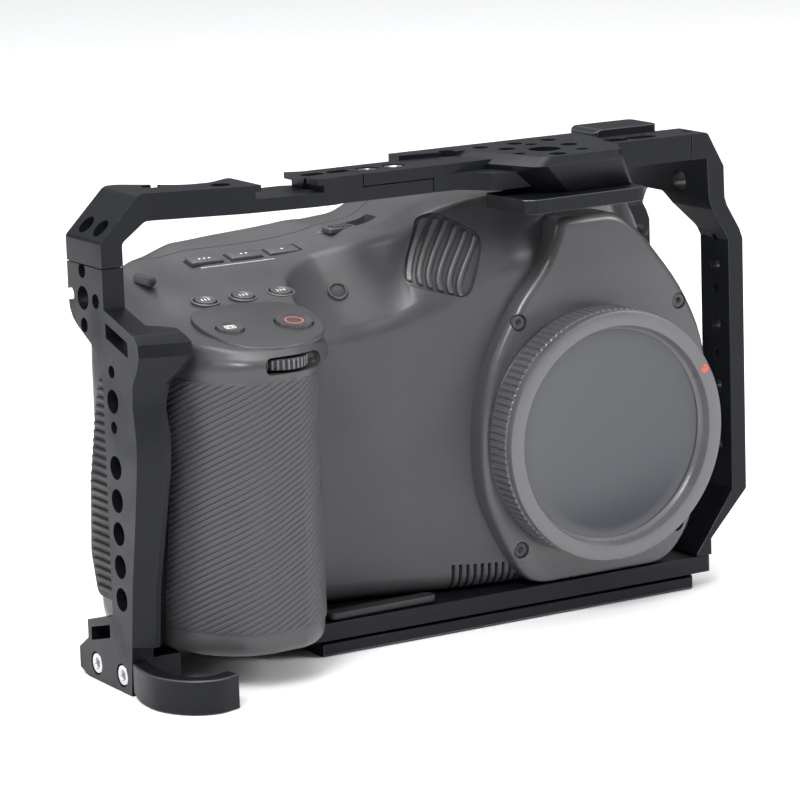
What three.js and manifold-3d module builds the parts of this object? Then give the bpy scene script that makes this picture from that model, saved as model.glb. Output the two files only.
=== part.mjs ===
// Cinema camera rig: a compact cinema camera held in a machined aluminium cage.
// Millimetres, +Z up. Seen from the front, +X is to the right and -Y is the way the lens looks.
// The origin is on the underside of the base plate, straight below the lens axis.
import * as THREE from "three";
import { mergeVertices } from "three/addons/utils/BufferGeometryUtils.js";
import Module from "manifold-3d";

const wasm = await Module();
wasm.setup();

// ---- Driving dimensions ----

const clearance = 0.3; // between pieces that touch
const lensZ = 51.7; // height of the lens axis

// cage
const cageLeft = -146.1; // outer face of the side plate
const sideWall = 6.2; // side plate and left post
const cageTop = 130.5; // top of the bars
const barHeight = 7.2;
const archSeamZ = 112.3; // joint between side plate and arch
const archChamfer = 11.6; // outer corner of the arch
const postBack = -23.2; // upper left post, front to back
const postFront = -43.4;
const barFront = -51.5; // front face of the top bars
const barBack = -36;
const shoeLeft = -102.5; // cold shoe channel, side to side
const shoeRight = -86.5;
const shoeFloorZ = 126.9;
const lapLeft = -72.4; // half-lap joint of arch and top plate
const lapRight = -50.5;
const plateRise = 1.2; // raised centre plate above the bars
const rightSeamX = 35.6; // joint between top plate and right frame
const rightFront = -48.6; // front plane of the right frame
const rightPostDepth = 13.6;
const rightRear = 8; // back of the right frame and of the base
const bigHole = 3.2; // radius of a 1/4-20 hole
const smallHole = 1.7; // radius of an M4 hole
const postHole = 2.1; // radius of an M5 hole, down the right post

// base
const baseTop = 9.3;
const baseThick = 4.7;
const baseRight = 40.2;
const baseLeft = -92;
const baseFront = -48;
const railTop = 3.6; // dovetail rail below the base
const screwHead = 2.9; // radius of the silver screws

// camera
const bodyBottom = 9.6;
const bodyRight = 42;
const bodyLeft = -138.5;
const bodyRear = 16;
const shellWall = 2.6;
const partingY = 4; // joint of front and rear shell
const deckSlope = 0.2; // rise of the control deck towards the back
const deckFrontY = -66;
const deckFrontZ = 92;
const rubberLow = 16.8; // grip rubber, bottom and top
const rubberHigh = 83.8;
const rubberThick = 1.2;
const housingFront = -49;
const throatRadius = 27; // opening of the lens mount
const ringRadius = 34.2;
const capRadius = 35;
const capFront = -62;
const capRecess = 30.4;
const capRecessDepth = 3.6;
const buttonFit = 0.25; // play round a button
const screenWide = 122; // tilting rear screen
const screenHigh = 77;
const screenLeft = -85;
const screenLow = 15.5;

// ---- Shape helpers ----

const AXES = {
  x: new THREE.Matrix4().makeBasis(
    new THREE.Vector3(0, 1, 0),
    new THREE.Vector3(0, 0, 1),
    new THREE.Vector3(1, 0, 0),
  ),
  y: new THREE.Matrix4().makeBasis(
    new THREE.Vector3(1, 0, 0),
    new THREE.Vector3(0, 0, 1),
    new THREE.Vector3(0, -1, 0),
  ),
  z: new THREE.Matrix4(),
};

// A closed geometry as a manifold solid.
function solid(geometry) {
  const plain = geometry.index ? geometry.toNonIndexed() : geometry.clone();
  plain.deleteAttribute("normal");
  plain.deleteAttribute("uv");
  const merged = mergeVertices(plain, 1e-4);
  return new wasm.Manifold(
    new wasm.Mesh({
      numProp: 3,
      vertProperties: merged.attributes.position.array,
      triVerts: new Uint32Array(merged.index.array),
    }),
  );
}

// A shape from corner points [u, v], each with an optional fillet radius [u, v, r].
function outline(points) {
  const shape = new THREE.Shape();
  points.forEach(([u, v, r = 0], i) => {
    const here = new THREE.Vector2(u, v);
    const before = points.at(i - 1);
    const after = points[(i + 1) % points.length];
    const back = new THREE.Vector2(before[0] - u, before[1] - v);
    const ahead = new THREE.Vector2(after[0] - u, after[1] - v);
    const turn = Math.PI - Math.abs(back.angleTo(ahead));
    const reach = Math.min(r * Math.tan(turn / 2), back.length() / 2.1, ahead.length() / 2.1);
    const enter = here.clone().add(back.setLength(reach));
    const leave = here.clone().add(ahead.setLength(reach));
    if (i === 0) shape.moveTo(enter.x, enter.y);
    else shape.lineTo(enter.x, enter.y);
    if (reach > 0) shape.quadraticCurveTo(u, v, leave.x, leave.y);
  });
  shape.closePath();
  return shape;
}

// An outline extruded along one axis. It lies in (y, z), (x, z) or (x, y).
function prism(axis, points, from, to, curveSegments = 3) {
  const geometry = new THREE.ExtrudeGeometry(outline(points), {
    depth: to - from,
    bevelEnabled: false,
    curveSegments,
  });
  geometry.translate(0, 0, axis === "y" ? -to : from);
  return solid(geometry.applyMatrix4(AXES[axis]));
}

function box(x0, x1, y0, y1, z0, z1) {
  return solid(
    new THREE.BoxGeometry(x1 - x0, y1 - y0, z1 - z0).translate(
      (x0 + x1) / 2,
      (y0 + y1) / 2,
      (z0 + z1) / 2,
    ),
  );
}

// A round bar from one point to another, in a direction of its own.
function rod(from, to, radius, sides = 16) {
  const a = new THREE.Vector3(...from);
  const b = new THREE.Vector3(...to);
  const along = b.clone().sub(a);
  const geometry = new THREE.CylinderGeometry(radius, radius, along.length(), sides);
  geometry.applyQuaternion(
    new THREE.Quaternion().setFromUnitVectors(
      new THREE.Vector3(0, 1, 0),
      along.clone().normalize(),
    ),
  );
  geometry.translate(...a.add(b).divideScalar(2).toArray());
  return solid(geometry);
}

// A turned piece about the lens axis, from [radius, y] points that run from front to back.
function turned(points, sides = 48) {
  const profile = points.map(([radius, y]) => new THREE.Vector2(radius, y));
  return solid(new THREE.LatheGeometry(profile, sides).translate(0, 0, lensZ));
}

// A skin through rings of equal count, closed by its first and last ring.
function loft(rings, flat) {
  const count = rings[0].length;
  const corners = [];
  const put = (...vertices) => vertices.forEach((v) => corners.push(...v));
  for (let k = 0; k + 1 < rings.length; k++)
    for (let i = 0; i < count; i++) {
      const j = (i + 1) % count;
      put(rings[k][i], rings[k][j], rings[k + 1][j]);
      put(rings[k][i], rings[k + 1][j], rings[k + 1][i]);
    }
  [rings[0], rings.at(-1)].forEach((ring, end) => {
    const contour = ring.map((p) => new THREE.Vector2(...flat(p)));
    THREE.ShapeUtils.triangulateShape(contour, []).forEach(([a, b, c]) => {
      const faces = THREE.ShapeUtils.isClockWise([contour[a], contour[b], contour[c]]);
      const same = faces === THREE.ShapeUtils.isClockWise(contour);
      if (same === Boolean(end)) put(ring[a], ring[b], ring[c]);
      else put(ring[c], ring[b], ring[a]);
    });
  });
  const geometry = new THREE.BufferGeometry();
  geometry.setAttribute("position", new THREE.Float32BufferAttribute(corners, 3));
  const made = solid(geometry);
  if (made.volume() > 0) return made;
  const turnedRound = rings.map((ring) => [...ring].reverse());
  return loft(turnedRound, flat);
}

const joined = (pieces) => pieces.reduce((whole, piece) => whole.add(piece));
const cut = (body, pieces) => pieces.reduce((rest, piece) => rest.subtract(piece), body);

// ---- Finishes ----

const FINISHES = {
  anodised: { color: 0x1a1a1e, roughness: 0.5, metalness: 0.6 },
  steel: { color: 0xb9babd, roughness: 0.3, metalness: 1 },
  camera: { color: 0x5c5c60, roughness: 0.55, metalness: 0 },
  cap: { color: 0x67676b, roughness: 0.5, metalness: 0 },
  rubber: { color: 0x4c4c50, roughness: 0.8, metalness: 0 },
  blackRubber: { color: 0x141416, roughness: 0.8, metalness: 0 },
  darkPlastic: { color: 0x3c3c40, roughness: 0.6, metalness: 0 },
  red: { color: 0xa83226, roughness: 0.4, metalness: 0 },
  glass: { color: 0x101418, roughness: 0.1, metalness: 0 },
  circuit: { color: 0x1d4a2c, roughness: 0.6, metalness: 0 },
};

const rig = new THREE.Group();

function add(name, body, finish) {
  const { vertProperties, triVerts, numProp } = body.getMesh();
  const positions = new Float32Array((vertProperties.length / numProp) * 3);
  for (let i = 0; i < positions.length / 3; i++)
    positions.set(vertProperties.subarray(i * numProp, i * numProp + 3), i * 3);
  const geometry = new THREE.BufferGeometry();
  geometry.setAttribute("position", new THREE.BufferAttribute(positions, 3));
  geometry.setIndex(new THREE.BufferAttribute(triVerts, 1));
  geometry.computeVertexNormals();
  const mesh = new THREE.Mesh(geometry, new THREE.MeshStandardMaterial(FINISHES[finish]));
  mesh.name = name;
  rig.add(mesh);
}

// ---- Cage: side plate with its finger flange ----

const plateInner = cageLeft + sideWall;
const holeY = -46.4; // column of holes in the side plate
const patternY = -31.8; // locating pattern of the upper plate
const patternZ = 103.3;
const patternRadius = 7.2;

function holeAlongX(y, z, radius, x0 = cageLeft - 1, x1 = cageLeft + 20) {
  return rod([x0, y, z], [x1, y, z], radius);
}

// The finger flange in plan at one height: nose is how far its ridge stands forward.
function flangeRing(z, nose, ridgeX = -141.2, innerX = -134.9) {
  const corner = nose + 3.6;
  return [
    [cageLeft, corner, z],
    [ridgeX, nose, z],
    [ridgeX + 1.6, nose + 0.2, z],
    [innerX, nose + 6.4, z],
    [Math.min(innerX - 0.6, -134.4), nose + 11.5, z],
    [plateInner - 0.5, postFront - 0.2, z],
    [cageLeft, postFront - 0.2, z],
  ];
}

function sidePlate() {
  const web = prism(
    "x",
    [
      [postBack, archSeamZ - clearance],
      [postBack, 97.8, 8],
      [-41.2, 88.6, 12],
      [-40.6, 19.6],
      [-25.4, 15.8],
      [-25.4, 10.8],
      [-19.8, 7.2],
      [-19.8, 1.6],
      [-25, 0],
      [-49.8, 0],
      [-51.2, 14],
      [-53.5, 48],
      [-55, 69],
      [-51.8, 81],
      [-54.5, 88],
      [-58.4, 91.5],
      [-58.4, 97.4, 1],
      [postFront, 101.6],
      [postFront, archSeamZ - clearance],
    ],
    cageLeft,
    plateInner,
  );
  const flange = loft(
    [
      flangeRing(13.4, -54.6),
      flangeRing(30, -56.6),
      flangeRing(48, -59.8, -140.4),
      flangeRing(62, -62, -139.6),
      flangeRing(70, -62.4, -139.4),
      flangeRing(78, -61, -139.8),
      flangeRing(84, -61.6, -138.8, -134.4),
      flangeRing(88, -64.4, -135.8, -131.6),
      flangeRing(91.6, -65.8, -133.8, -129.8),
      flangeRing(95, -65.4, -134, -130.2),
      flangeRing(97.2, -63, -135.6, -132),
    ],
    ([x, y]) => [x, y],
  );
  const slot = (y0, z0, y1, z1, high) =>
    prism("x", [[y0, z0], [y1, z1], [y1, z1 - high], [y0, z0 - high]], cageLeft - 1, plateInner + 6);
  const column = [85.9, 78.1, 71.2, 60.6, 51.8, 43, 34.2, 25.4].map((z, i) =>
    holeAlongX(holeY, z, i === 0 || i === 2 ? smallHole : bigHole, cageLeft - 1, plateInner + 14),
  );
  const pattern = [[0, 0], [1, 0], [-1, 0], [0, 1], [0, -1]].map(([a, b], i) =>
    holeAlongX(
      patternY + a * patternRadius,
      patternZ + b * patternRadius,
      i ? smallHole + 0.3 : bigHole,
    ),
  );
  const screws = sideScrewY.map((y) => holeAlongX(y, sideScrewZ, screwHead + clearance));
  return cut(joined([web, flange]), [
    ...column,
    ...pattern,
    ...screws,
    slot(-44, 98.4, -56.2, 94.9, 4),
    slot(-27.4, 14.1, -38.6, 17, 3.6),
    prism("x", [[-26, -1], [-51, -1], [-49, 1.2], [-46, 1.2]], plateInner - 1.4, plateInner + 1),
    locatingKeyBody(keyFit),
  ]);
}

const sideScrewY = [-29.7, -44.6];
const sideScrewZ = 4.6;
const keyFit = 0.15;

// The rounded key that stops the plate from turning on its screws.
function locatingKeyBody(grow = 0) {
  const middle = (sideScrewY[0] + sideScrewY[1]) / 2;
  const half = 3.4 + grow;
  return prism(
    "x",
    [
      [middle - half, sideScrewZ - 2.6 - grow, 1],
      [middle + half, sideScrewZ - 2.6 - grow, 1],
      [middle + half, sideScrewZ + 2.6 + grow, 1],
      [middle - half, sideScrewZ + 2.6 + grow, 1],
    ],
    cageLeft + 0.4,
    plateInner - 0.4 + grow * 4,
  );
}

// A socket-head screw along a direction, its head flush at the start.
function screw(from, direction, headRadius, headHeight, shankRadius, length) {
  const start = new THREE.Vector3(...from);
  const way = new THREE.Vector3(...direction).normalize();
  const at = (d) => start.clone().addScaledVector(way, d).toArray();
  const head = rod(at(0), at(headHeight), headRadius, 20);
  const shank = rod(at(headHeight - 0.2), at(length), shankRadius, 12);
  const socket = rod(at(-1), at(headHeight * 0.6), headRadius * 0.5, 6);
  return head.add(shank).subtract(socket);
}

add("side_plate", sidePlate(), "anodised");
add("locating_key", locatingKeyBody(), "anodised");
sideScrewY.forEach((y, i) =>
  add(
    `side_screw_${i + 1}`,
    screw([cageLeft + 0.2, y, sideScrewZ], [1, 0, 0], screwHead, 2.4, 1.4, 5.4),
    "steel",
  ),
);

// ---- Cage: foot arm that hooks round the grip ----

const armHigh = 9.3;
const armThick = 4.6;

function footArm() {
  const outer = new THREE.CatmullRomCurve3(
    [
      [cageLeft, -50.4],
      [-147.4, -58],
      [-147.2, -67],
      [-142.6, -75],
      [-135.6, -78.4],
      [-128.4, -76.6],
    ].map(([x, y]) => new THREE.Vector3(x, y, 0)),
  );
  const steps = 16;
  const front = outer.getPoints(steps);
  const inner = front.map((point, i) => {
    const along = outer.getTangent(i / steps);
    return point.clone().add(new THREE.Vector3(-along.y, along.x, 0).multiplyScalar(armThick));
  });
  const plan = [...front, ...inner.reverse()].map((p) => [p.x, p.y]);
  const body = prism("z", plan, 0, armHigh, 1);
  const slope = prism("x", [[-47, -1], [-62, -1], [-50, 1.6]], cageLeft - 6, cageLeft + 8);
  return body.subtract(slope);
}

add("foot_arm", footArm().subtract(box(-160, -120, -51.3, -30, -1, 20)), "anodised");

// ---- Cage: left arch with the cold shoe ----

const barBottom = cageTop - barHeight;
const lapZ = (cageTop + barBottom) / 2;

function leftArch() {
  const section = prism(
    "y",
    [
      [cageLeft, archSeamZ],
      [cageLeft, cageTop - archChamfer, 1.5],
      [cageLeft + archChamfer, cageTop, 3],
      [lapRight - clearance, cageTop],
      [lapRight - clearance, barBottom],
      [cageLeft + archChamfer + 1.4, barBottom, 2.5],
      [plateInner, cageTop - archChamfer - 0.6, 1.5],
      [plateInner, archSeamZ],
    ],
    -60,
    0,
  );
  const plan = prism(
    "z",
    [
      [cageLeft - 1, postBack],
      [-131, postBack, 4],
      [-117.5, -36.4, 10],
      [-110, -37, 6],
      [shoeLeft - 1.5, -33.5],
      [shoeRight - 1, -33.5],
      [shoeRight + 4, barBack, 3],
      [lapRight, barBack],
      [lapRight, barFront],
      [shoeRight + 7.5, barFront],
      [shoeRight + 5.5, barFront - 0.9],
      [shoeRight - 1, barFront - 0.9],
      [shoeLeft, -50.6],
      [-108, -49.8, 8],
      [-131, postFront, 12],
      [cageLeft - 1, postFront],
    ],
    100,
    140,
  );
  const channel = box(shoeLeft, shoeRight, -60, -20, shoeFloorZ, 140);
  const undercut = box(shoeLeft - 1.6, shoeRight + 1.8, -60, -20, shoeFloorZ, shoeFloorZ + 1.9);
  const lap = box(lapLeft, lapRight + 1, -60, -20, lapZ, 140);
  const chamferHoles = [-29.6, -37.8].map((y) =>
    rod([cageLeft - 1, y, 126], [cageLeft + 16, y, 109], smallHole + 1),
  );
  const topHoles = [[-125.2, -32.4], [-110.4, -43]].map(([x, y]) =>
    rod([x, y, 100], [x, y, 140], smallHole + 1),
  );
  const ovals = [-83, -75.2].map((x) => {
    const half = smallHole + 0.3;
    const ends = [-1.4, 1.4].map((d) => rod([x + d, -43, 118], [x + d, -43, 140], half));
    return joined([...ends, box(x - 1.4, x + 1.4, -43 - half, -43 + half, 118, 140)]);
  });
  const shoePin = rod([shoeRight - 2, -45.5, 129.2], [shoeRight + 4, -45.5, 129.2], 0.9, 12);
  const screwHoles = lapScrewX.map((x) => rod([x, lapScrewY, 110], [x, lapScrewY, 140], 1.4, 12));
  return cut(section.intersect(plan), [
    channel,
    undercut,
    lap,
    ...chamferHoles,
    ...topHoles,
    ...ovals,
    shoePin,
    ...screwHoles,
  ]);
}

const lapScrewX = [-66.4, -58.2];
const lapScrewY = -43.4;

add("left_arch", leftArch(), "anodised");
lapScrewX.forEach((x, i) =>
  add(
    `lap_screw_${i + 1}`,
    screw([x, lapScrewY, cageTop - 0.3], [0, 0, -1], screwHead, 2, 1.1, 6.4),
    "steel",
  ),
);

// ---- Cage: raised top plate, nose and right bar ----

const plateTop = cageTop + plateRise;

// The nose in plan, from its left shoulder round the front: its face leans back towards the bottom.
const NOSE_RINGS = [
  [121.6, [-36, -34], [-36, -42], [-22, -61.6], [-16.4, -64.4], [4, -64], [5.4, -63], [6.4, -57], [6.4, -34]],
  [129.4, [-38, -34], [-38, -42], [-28, -66], [-24.8, -67.8], [-1.6, -67.8], [0, -66.8], [6, -57], [6, -34]],
  [
    plateTop,
    ...[[-33, -34], [-33, -42], [-24.6, -64.4], [-22, -66]],
    ...[[-1.4, -66.4], [0, -65.6], [5.4, -56], [5.4, -34]],
  ],
];

const ringHoleFloor = 127; // the tapped holes round the big one are blind

function topPlate() {
  const bar = box(lapRight, rightSeamX - clearance, rightFront, barBack, barBottom, cageTop);
  const leftBar = box(lapRight, -20, barFront, barBack, barBottom, cageTop);
  const tongue = box(lapLeft + clearance, lapRight + 1, barFront, barBack, lapZ + clearance, cageTop);
  const raised = prism(
    "z",
    [
      [-52, -30.5],
      [-52, -36],
      [-30, -40],
      [2.4, -40],
      [2.4, -56],
      [6, rightFront + 0.4, 3],
      [8, -42, 3],
      [8, -30.5],
    ],
    lapZ + clearance,
    plateTop,
  );
  const nose = loft(
    NOSE_RINGS.map(([z, ...plan]) => plan.map(([x, y]) => [x, y, z])),
    ([x, y]) => [x, y],
  );
  const shoulder = prism(
    "z",
    [[lapRight, -48], [lapRight, barFront], [-43, barFront, 8], [-37, -60], [-20, -60], [-20, -48]],
    barBottom,
    128,
  );
  const bigCentre = rod([-15.6, -52, 100], [-15.6, -52, 140], 4.4, 24);
  const ring = Array.from({ length: 6 }, (_, i) => {
    const turn = (i / 6) * Math.PI * 2 + 0.3;
    const x = -15.6 + Math.cos(turn) * 10.4;
    const y = -52 + Math.sin(turn) * 10.4;
    return rod([x, y, ringHoleFloor], [x, y, 140], i % 2 ? smallHole : bigHole - 0.8);
  });
  const rearRow = [-38, -27, -16, -5].map((x) =>
    rod([x, -37.6, 100], [x, -37.6, 140], smallHole + 0.5),
  );
  const slots = [12.4, 21.6].map((x) => {
    const half = bigHole - 0.6;
    const ends = [-2, 2].map((d) => rod([x + d, -43.6, 100], [x + d, -43.6, 140], half));
    return joined([...ends, box(x - 2, x + 2, -43.6 - half, -43.6 + half, 100, 140)]);
  });
  const screwHoles = lapScrewX.map((x) =>
    rod([x, lapScrewY, cageTop - 2.6], [x, lapScrewY, 140], screwHead + clearance).add(
      rod([x, lapScrewY, 110], [x, lapScrewY, 140], 1.4, 12),
    ),
  );
  return cut(joined([bar, leftBar, tongue, raised, nose, shoulder]), [
    bigCentre,
    ...ring,
    ...rearRow,
    ...slots,
    ...screwHoles,
  ]);
}

function noseHook() {
  const plan = [
    [-33.4, -50],
    [-33.4, -68.6, 2],
    [-30.4, -70.6, 2],
    [2, -69.6],
    [5.6, -68.4, 1],
    [6.4, -58],
    [2, -50],
  ];
  const body = prism("z", plan, 117.4, 121.6 - clearance);
  const seat = box(-29.4, 1.6, -66.4, -40, 116, 119.6);
  return body.subtract(seat);
}

add("top_plate", topPlate(), "anodised");
add("nose_hook", noseHook(), "anodised");

// ---- Cage: rear accessory rail on the right bar ----

function rearRail() {
  const foot = prism(
    "z",
    [[12, -35.6, 2], [33, -35.6, 2], [33, -22, 2], [12, -22, 2]],
    cageTop - 5,
    plateTop + 0.8,
  );
  const ramp = prism("y", [[11, plateTop + 2], [11, 131], [16, plateTop + 2]], -40, -10);
  return foot.subtract(ramp);
}

const barRoom = box(0, 40, -40, barBack + clearance, 100, cageTop + clearance);
add("rear_rail", rearRail().subtract(barRoom), "anodised");

// ---- Cage: right frame, a bent post with a window for the sockets ----

function rightFrame() {
  const bend = prism(
    "y",
    [
      [rightSeamX, cageTop],
      [40.8, cageTop, 1.5],
      [46.2, 120.6],
      [46.4, 111.7],
      [47.2, 109.3, 1],
      [51.4, 102.2, 1],
      [52.4, 99.4],
      [52.6, 27.2, 1],
      [baseRight, 14.2],
      [baseRight, baseTop + clearance],
      [35.2, baseTop + clearance],
      [35.2, 10.2],
      [47.7, 27.4],
      [47.5, 99.4],
      [46.5, 101.4, 1],
      [42.2, 108.4, 1],
      [41, 111.7],
      [40.6, barBottom],
      [rightSeamX, barBottom],
    ],
    rightFront,
    rightRear,
  );
  const postBackY = rightFront + rightPostDepth;
  const frameRear = rightRear + 1;
  const side = prism(
    "x",
    [
      [rightFront - 1, 140],
      [barBack, 140],
      [barBack, barBottom + 4],
      [-10, barBottom + 1],
      [-2, barBottom],
      [frameRear, barBottom - 10],
      [frameRear, 0],
      [rightFront - 1, 0],
    ],
    30,
    60,
  );
  const window = prism(
    "x",
    [
      [postBackY, 14],
      [postBackY, 102.3, 2],
      [postBackY + 9.2, 111.6, 2],
      [-12, 111.6, 2],
      [-2.6, 104.6, 2],
      [-2.6, 14],
    ],
    30,
    60,
  );
  const bigZ = [91.6, 74.4, 57, 39.6];
  const smallZ = [99.3, 84.6, 65.8, 48.4];
  const column = [
    ...bigZ.map((z) => rod([30, -42, z], [60, -42, z], postHole)),
    ...smallZ.map((z) => rod([30, -42, z], [60, -42, z], postHole - 0.8)),
    rod([30, -34.4, 115.4], [60, -34.4, 115.4], bigHole),
  ];
  const topHole = rod([38.6, -42, 100], [38.6, -42, 140], smallHole);
  return cut(bend.intersect(side), [window, ...column, topHole]);
}

add("right_frame", rightFrame(), "anodised");

// ---- Cage: base plate, dovetail rail and pads ----

const baseBottom = baseTop - baseThick;
const screwY = -20; // camera screw

function basePlate() {
  const plate = prism(
    "z",
    [
      [baseLeft, rightRear, 3],
      [baseLeft, -2],
      [-128, -2],
      [-128, -16],
      [plateInner + clearance, -16],
      [plateInner + clearance, -49],
      [-131, -49],
      [-128, -26],
      [baseLeft - 4, -26, 4],
      [baseLeft - 3, baseFront, 8],
      [baseRight, baseFront, 1],
      [baseRight, rightRear, 3],
    ],
    baseBottom,
    baseTop,
  );
  const endBlock = box(plateInner + clearance, -131, -48.8, -16.4, 0.4, baseTop - 1);
  const threads = sideScrewY.map((y) => holeAlongX(y, sideScrewZ, 1.4, cageLeft, -136));
  const cameraScrewHole = rod([0, screwY, 0], [0, screwY, 20], 3.6, 20);
  const slots = [-60, -30, 20].map((x) => box(x - 7, x + 7, -8, -4, 0, 20));
  return cut(plate.add(endBlock), [...threads, cameraScrewHole, ...slots]);
}

function dovetailRail() {
  const rail = prism(
    "x",
    [
      [-47.6, 0.6],
      [-46.6, 0],
      [5, 0],
      [6, 0.6],
      [3, railTop + clearance],
      [3, baseBottom - clearance],
      [-44.6, baseBottom - clearance],
      [-44.6, railTop + clearance],
      [-47.6, railTop],
    ],
    baseLeft + 5,
    baseRight - 4.6,
  );
  const ends = prism("z", [[baseRight - 14, -60], [baseRight, -60], [baseRight, -38]], -1, 10);
  const tripodHoles = [-60, -30, 0].map((x) =>
    rod([x, screwY, -1], [x, screwY, 10], x ? bigHole : 7, 20),
  );
  return cut(rail, [ends, ...tripodHoles]);
}

add("base_plate", basePlate(), "anodised");
add("dovetail_rail", dovetailRail(), "anodised");
add(
  "camera_screw",
  screw([0, screwY, baseBottom - 3], [0, 0, 1], 6, 2.6, 3.1, 7.4),
  "steel",
);
add(
  "front_pad",
  prism(
    "z",
    [[-84, -47, 2], [-50, -46.4, 2], [-50, -41.6, 2], [-84, -42.2, 2]],
    baseTop + clearance,
    baseTop + 2.3,
  ),
  "blackRubber",
);

// ---- Camera body: one loft that both shells are cut from ----

const deckZ = (y) => deckFrontZ + deckSlope * (y - deckFrontY);

// Side profiles of the body at stations across it.
// Each has its place x, front face, shoulder height, brow [y, z], rear face, rear height, underside.
const DECK = null; // a height left to the sloping control deck
const STATIONS = [
  [bodyLeft, -40.6, 76, [-36, 82], -20, 75, 15],
  [-135.8, -42, 83, [-37, 90], -14, 82, 11.6],
  [-132.4, -55, 86, [-49, 93], -8, 90, 10.4],
  [-127.6, -65.6, 88, [-61, DECK], -5, 95, 10.4],
  [-119, -72.4, 88.8, [-69, DECK], 4, 103.4, 10.4],
  [-106, -72.8, 88.8, [-69.6, DECK], 13, 105.4, 10.4],
  [-97, -66.4, 88, [-63, DECK], bodyRear, DECK, 10.4],
  [-91, -54, 86.4, [-50, DECK], bodyRear, DECK, 10.2],
  [-86, -41.6, 85, [-35.4, DECK], bodyRear, DECK, bodyBottom],
  [-81, -33.4, 84, [-24, DECK], bodyRear, DECK, bodyBottom],
  [-67, -35, 85, [-13, 103.4], bodyRear, 107.8, bodyBottom],
  [-57, -37.6, 87, [-17, 105.4], bodyRear, 109, bodyBottom],
  [-49, -39.4, 89, [-29, 109.6], bodyRear, 111.6, bodyBottom],
  [-42, -41, 91, [-33, 114.6], bodyRear, 113.6, bodyBottom],
  [-32, -43, 97, [-35, 117.4], bodyRear, 115, bodyBottom],
  [-20, -44, 100, [-36, 118.4], bodyRear, 116, bodyBottom],
  [14, -44, 100, [-36, 118.4], bodyRear, 116, bodyBottom],
  [24, -42, 92, [-31, 112.6], bodyRear, 110.4, bodyBottom],
  [32, -38.6, 80, [-26, 101.6], bodyRear, 100.4, 12.6],
  [38.6, -34.6, 66, [-20, 86], 14, 86, 21],
  [bodyRight, -30.4, 54, [-16, 70], 10, 70, 29],
];

// The body, with every face moved inwards by a wall.
function bodyLoft(wall) {
  const endZone = 10;
  const rings = STATIONS.map((station, i) => {
    const [x, front, shoulder, [browY, browZ], rear, rearZ, under] = station;
    const before = STATIONS[Math.max(i - 1, 0)];
    const after = STATIONS[Math.min(i + 1, STATIONS.length - 1)];
    const steep = Math.min(2.2, Math.hypot(1, (after[1] - before[1]) / (after[0] - before[0])));
    const fromLeft = Math.max(0, 1 - (x - bodyLeft) / endZone);
    const fromRight = Math.max(0, 1 - (bodyRight - x) / endZone);
    const place = x + wall * (fromLeft - fromRight);
    const top = (z, y) => (z === DECK ? deckZ(y) : z) - wall;
    const low = under + wall;
    return [
      [place, rear - wall, low + 3],
      [place, rear - 3 - wall, low],
      [place, front + 4 + wall * steep, low],
      [place, front + wall * steep, low + 4],
      [place, front + wall * steep, shoulder - wall * 0.6],
      [place, browY + wall * 0.8 * steep, top(browZ, browY)],
      [place, rear - 6 - wall, top(rearZ, rear - 6)],
      [place, rear - wall, top(rearZ, rear - 6) - 5],
    ];
  });
  return loft(rings, ([, y, z]) => [y, z]);
}

// The housing that carries the lens mount, in (x, z).
const HOUSING = [
  [-22, 10],
  [26, 10],
  [32.4, 18],
  [39, 36],
  [40.4, 56],
  [39.4, 73],
  [32, 89],
  [18.6, 106],
  [10, 112],
  [-8.6, 112],
  [-9.6, 107],
  [-14, 98.6],
  [-22.6, 89.6],
  [-31.4, 74.6],
  [-35.2, 62],
  [-36, 47.4],
  [-34.8, 35.7],
  [-28.4, 20.3],
  [-24.4, 13],
];

function housingBlock() {
  const ring = (y, size) =>
    HOUSING.map(([x, z]) => [x * size, y, lensZ + (z - lensZ) * size + (1 - size) * 4]);
  return loft([ring(-36, 1), ring(-46, 1), ring(housingFront, 0.955)], ([x, , z]) => [x, z]);
}

const outer = bodyLoft(0);
const inner = bodyLoft(shellWall);
const gripSkin = outer.subtract(bodyLoft(rubberThick));
const rubberRegion = prism(
  "z",
  [
    [-134.6, -75],
    [-84.6, -75],
    [-84.6, -40],
    [-92, -30],
    [-134.6, -44],
  ],
  rubberLow,
  rubberHigh,
);
const rubberBed = prism(
  "z",
  [
    [-135, -76],
    [-84.2, -76],
    [-84.2, -39.6],
    [-92, -29.4],
    [-135, -43.6],
  ],
  rubberLow - clearance,
  rubberHigh + clearance,
).subtract(bodyLoft(rubberThick + clearance));

// ---- Controls on the deck ----

const deckNormal = new THREE.Vector3(0, -deckSlope, 1).normalize();

// Round buttons: centre on the deck, radius and how far each stands proud.
const DECK_BUTTONS = {
  record_button: { x: -97, y: -55.5, radius: 5, proud: 0.8, finish: "darkPlastic" },
  stills_button: { x: -115.4, y: -54.4, radius: 3.6, proud: 0.7, finish: "darkPlastic" },
  iso_button: { x: -111.2, y: -33.4, radius: 2.9, proud: 0.6, finish: "darkPlastic" },
  shutter_button: { x: -99.8, y: -33.4, radius: 2.9, proud: 0.6, finish: "darkPlastic" },
  balance_button: { x: -88.4, y: -33.4, radius: 2.9, proud: 0.6, finish: "darkPlastic" },
};
const keyY = -5.5;
const keyX = [-96.4, -84.2, -72.2];
const keySize = [9.6, 5];

const onDeck = (x, y, lift) =>
  new THREE.Vector3(x, y, deckZ(y)).addScaledVector(deckNormal, lift).toArray();

function roundButton({ x, y, radius, proud }) {
  return rod(onDeck(x, y, -2.4), onDeck(x, y, proud), radius, 24);
}

const buttonWells = Object.values(DECK_BUTTONS).map(({ x, y, radius }) =>
  rod(onDeck(x, y, -shellWall - 3), onDeck(x, y, 3), radius + buttonFit, 24),
);

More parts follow.
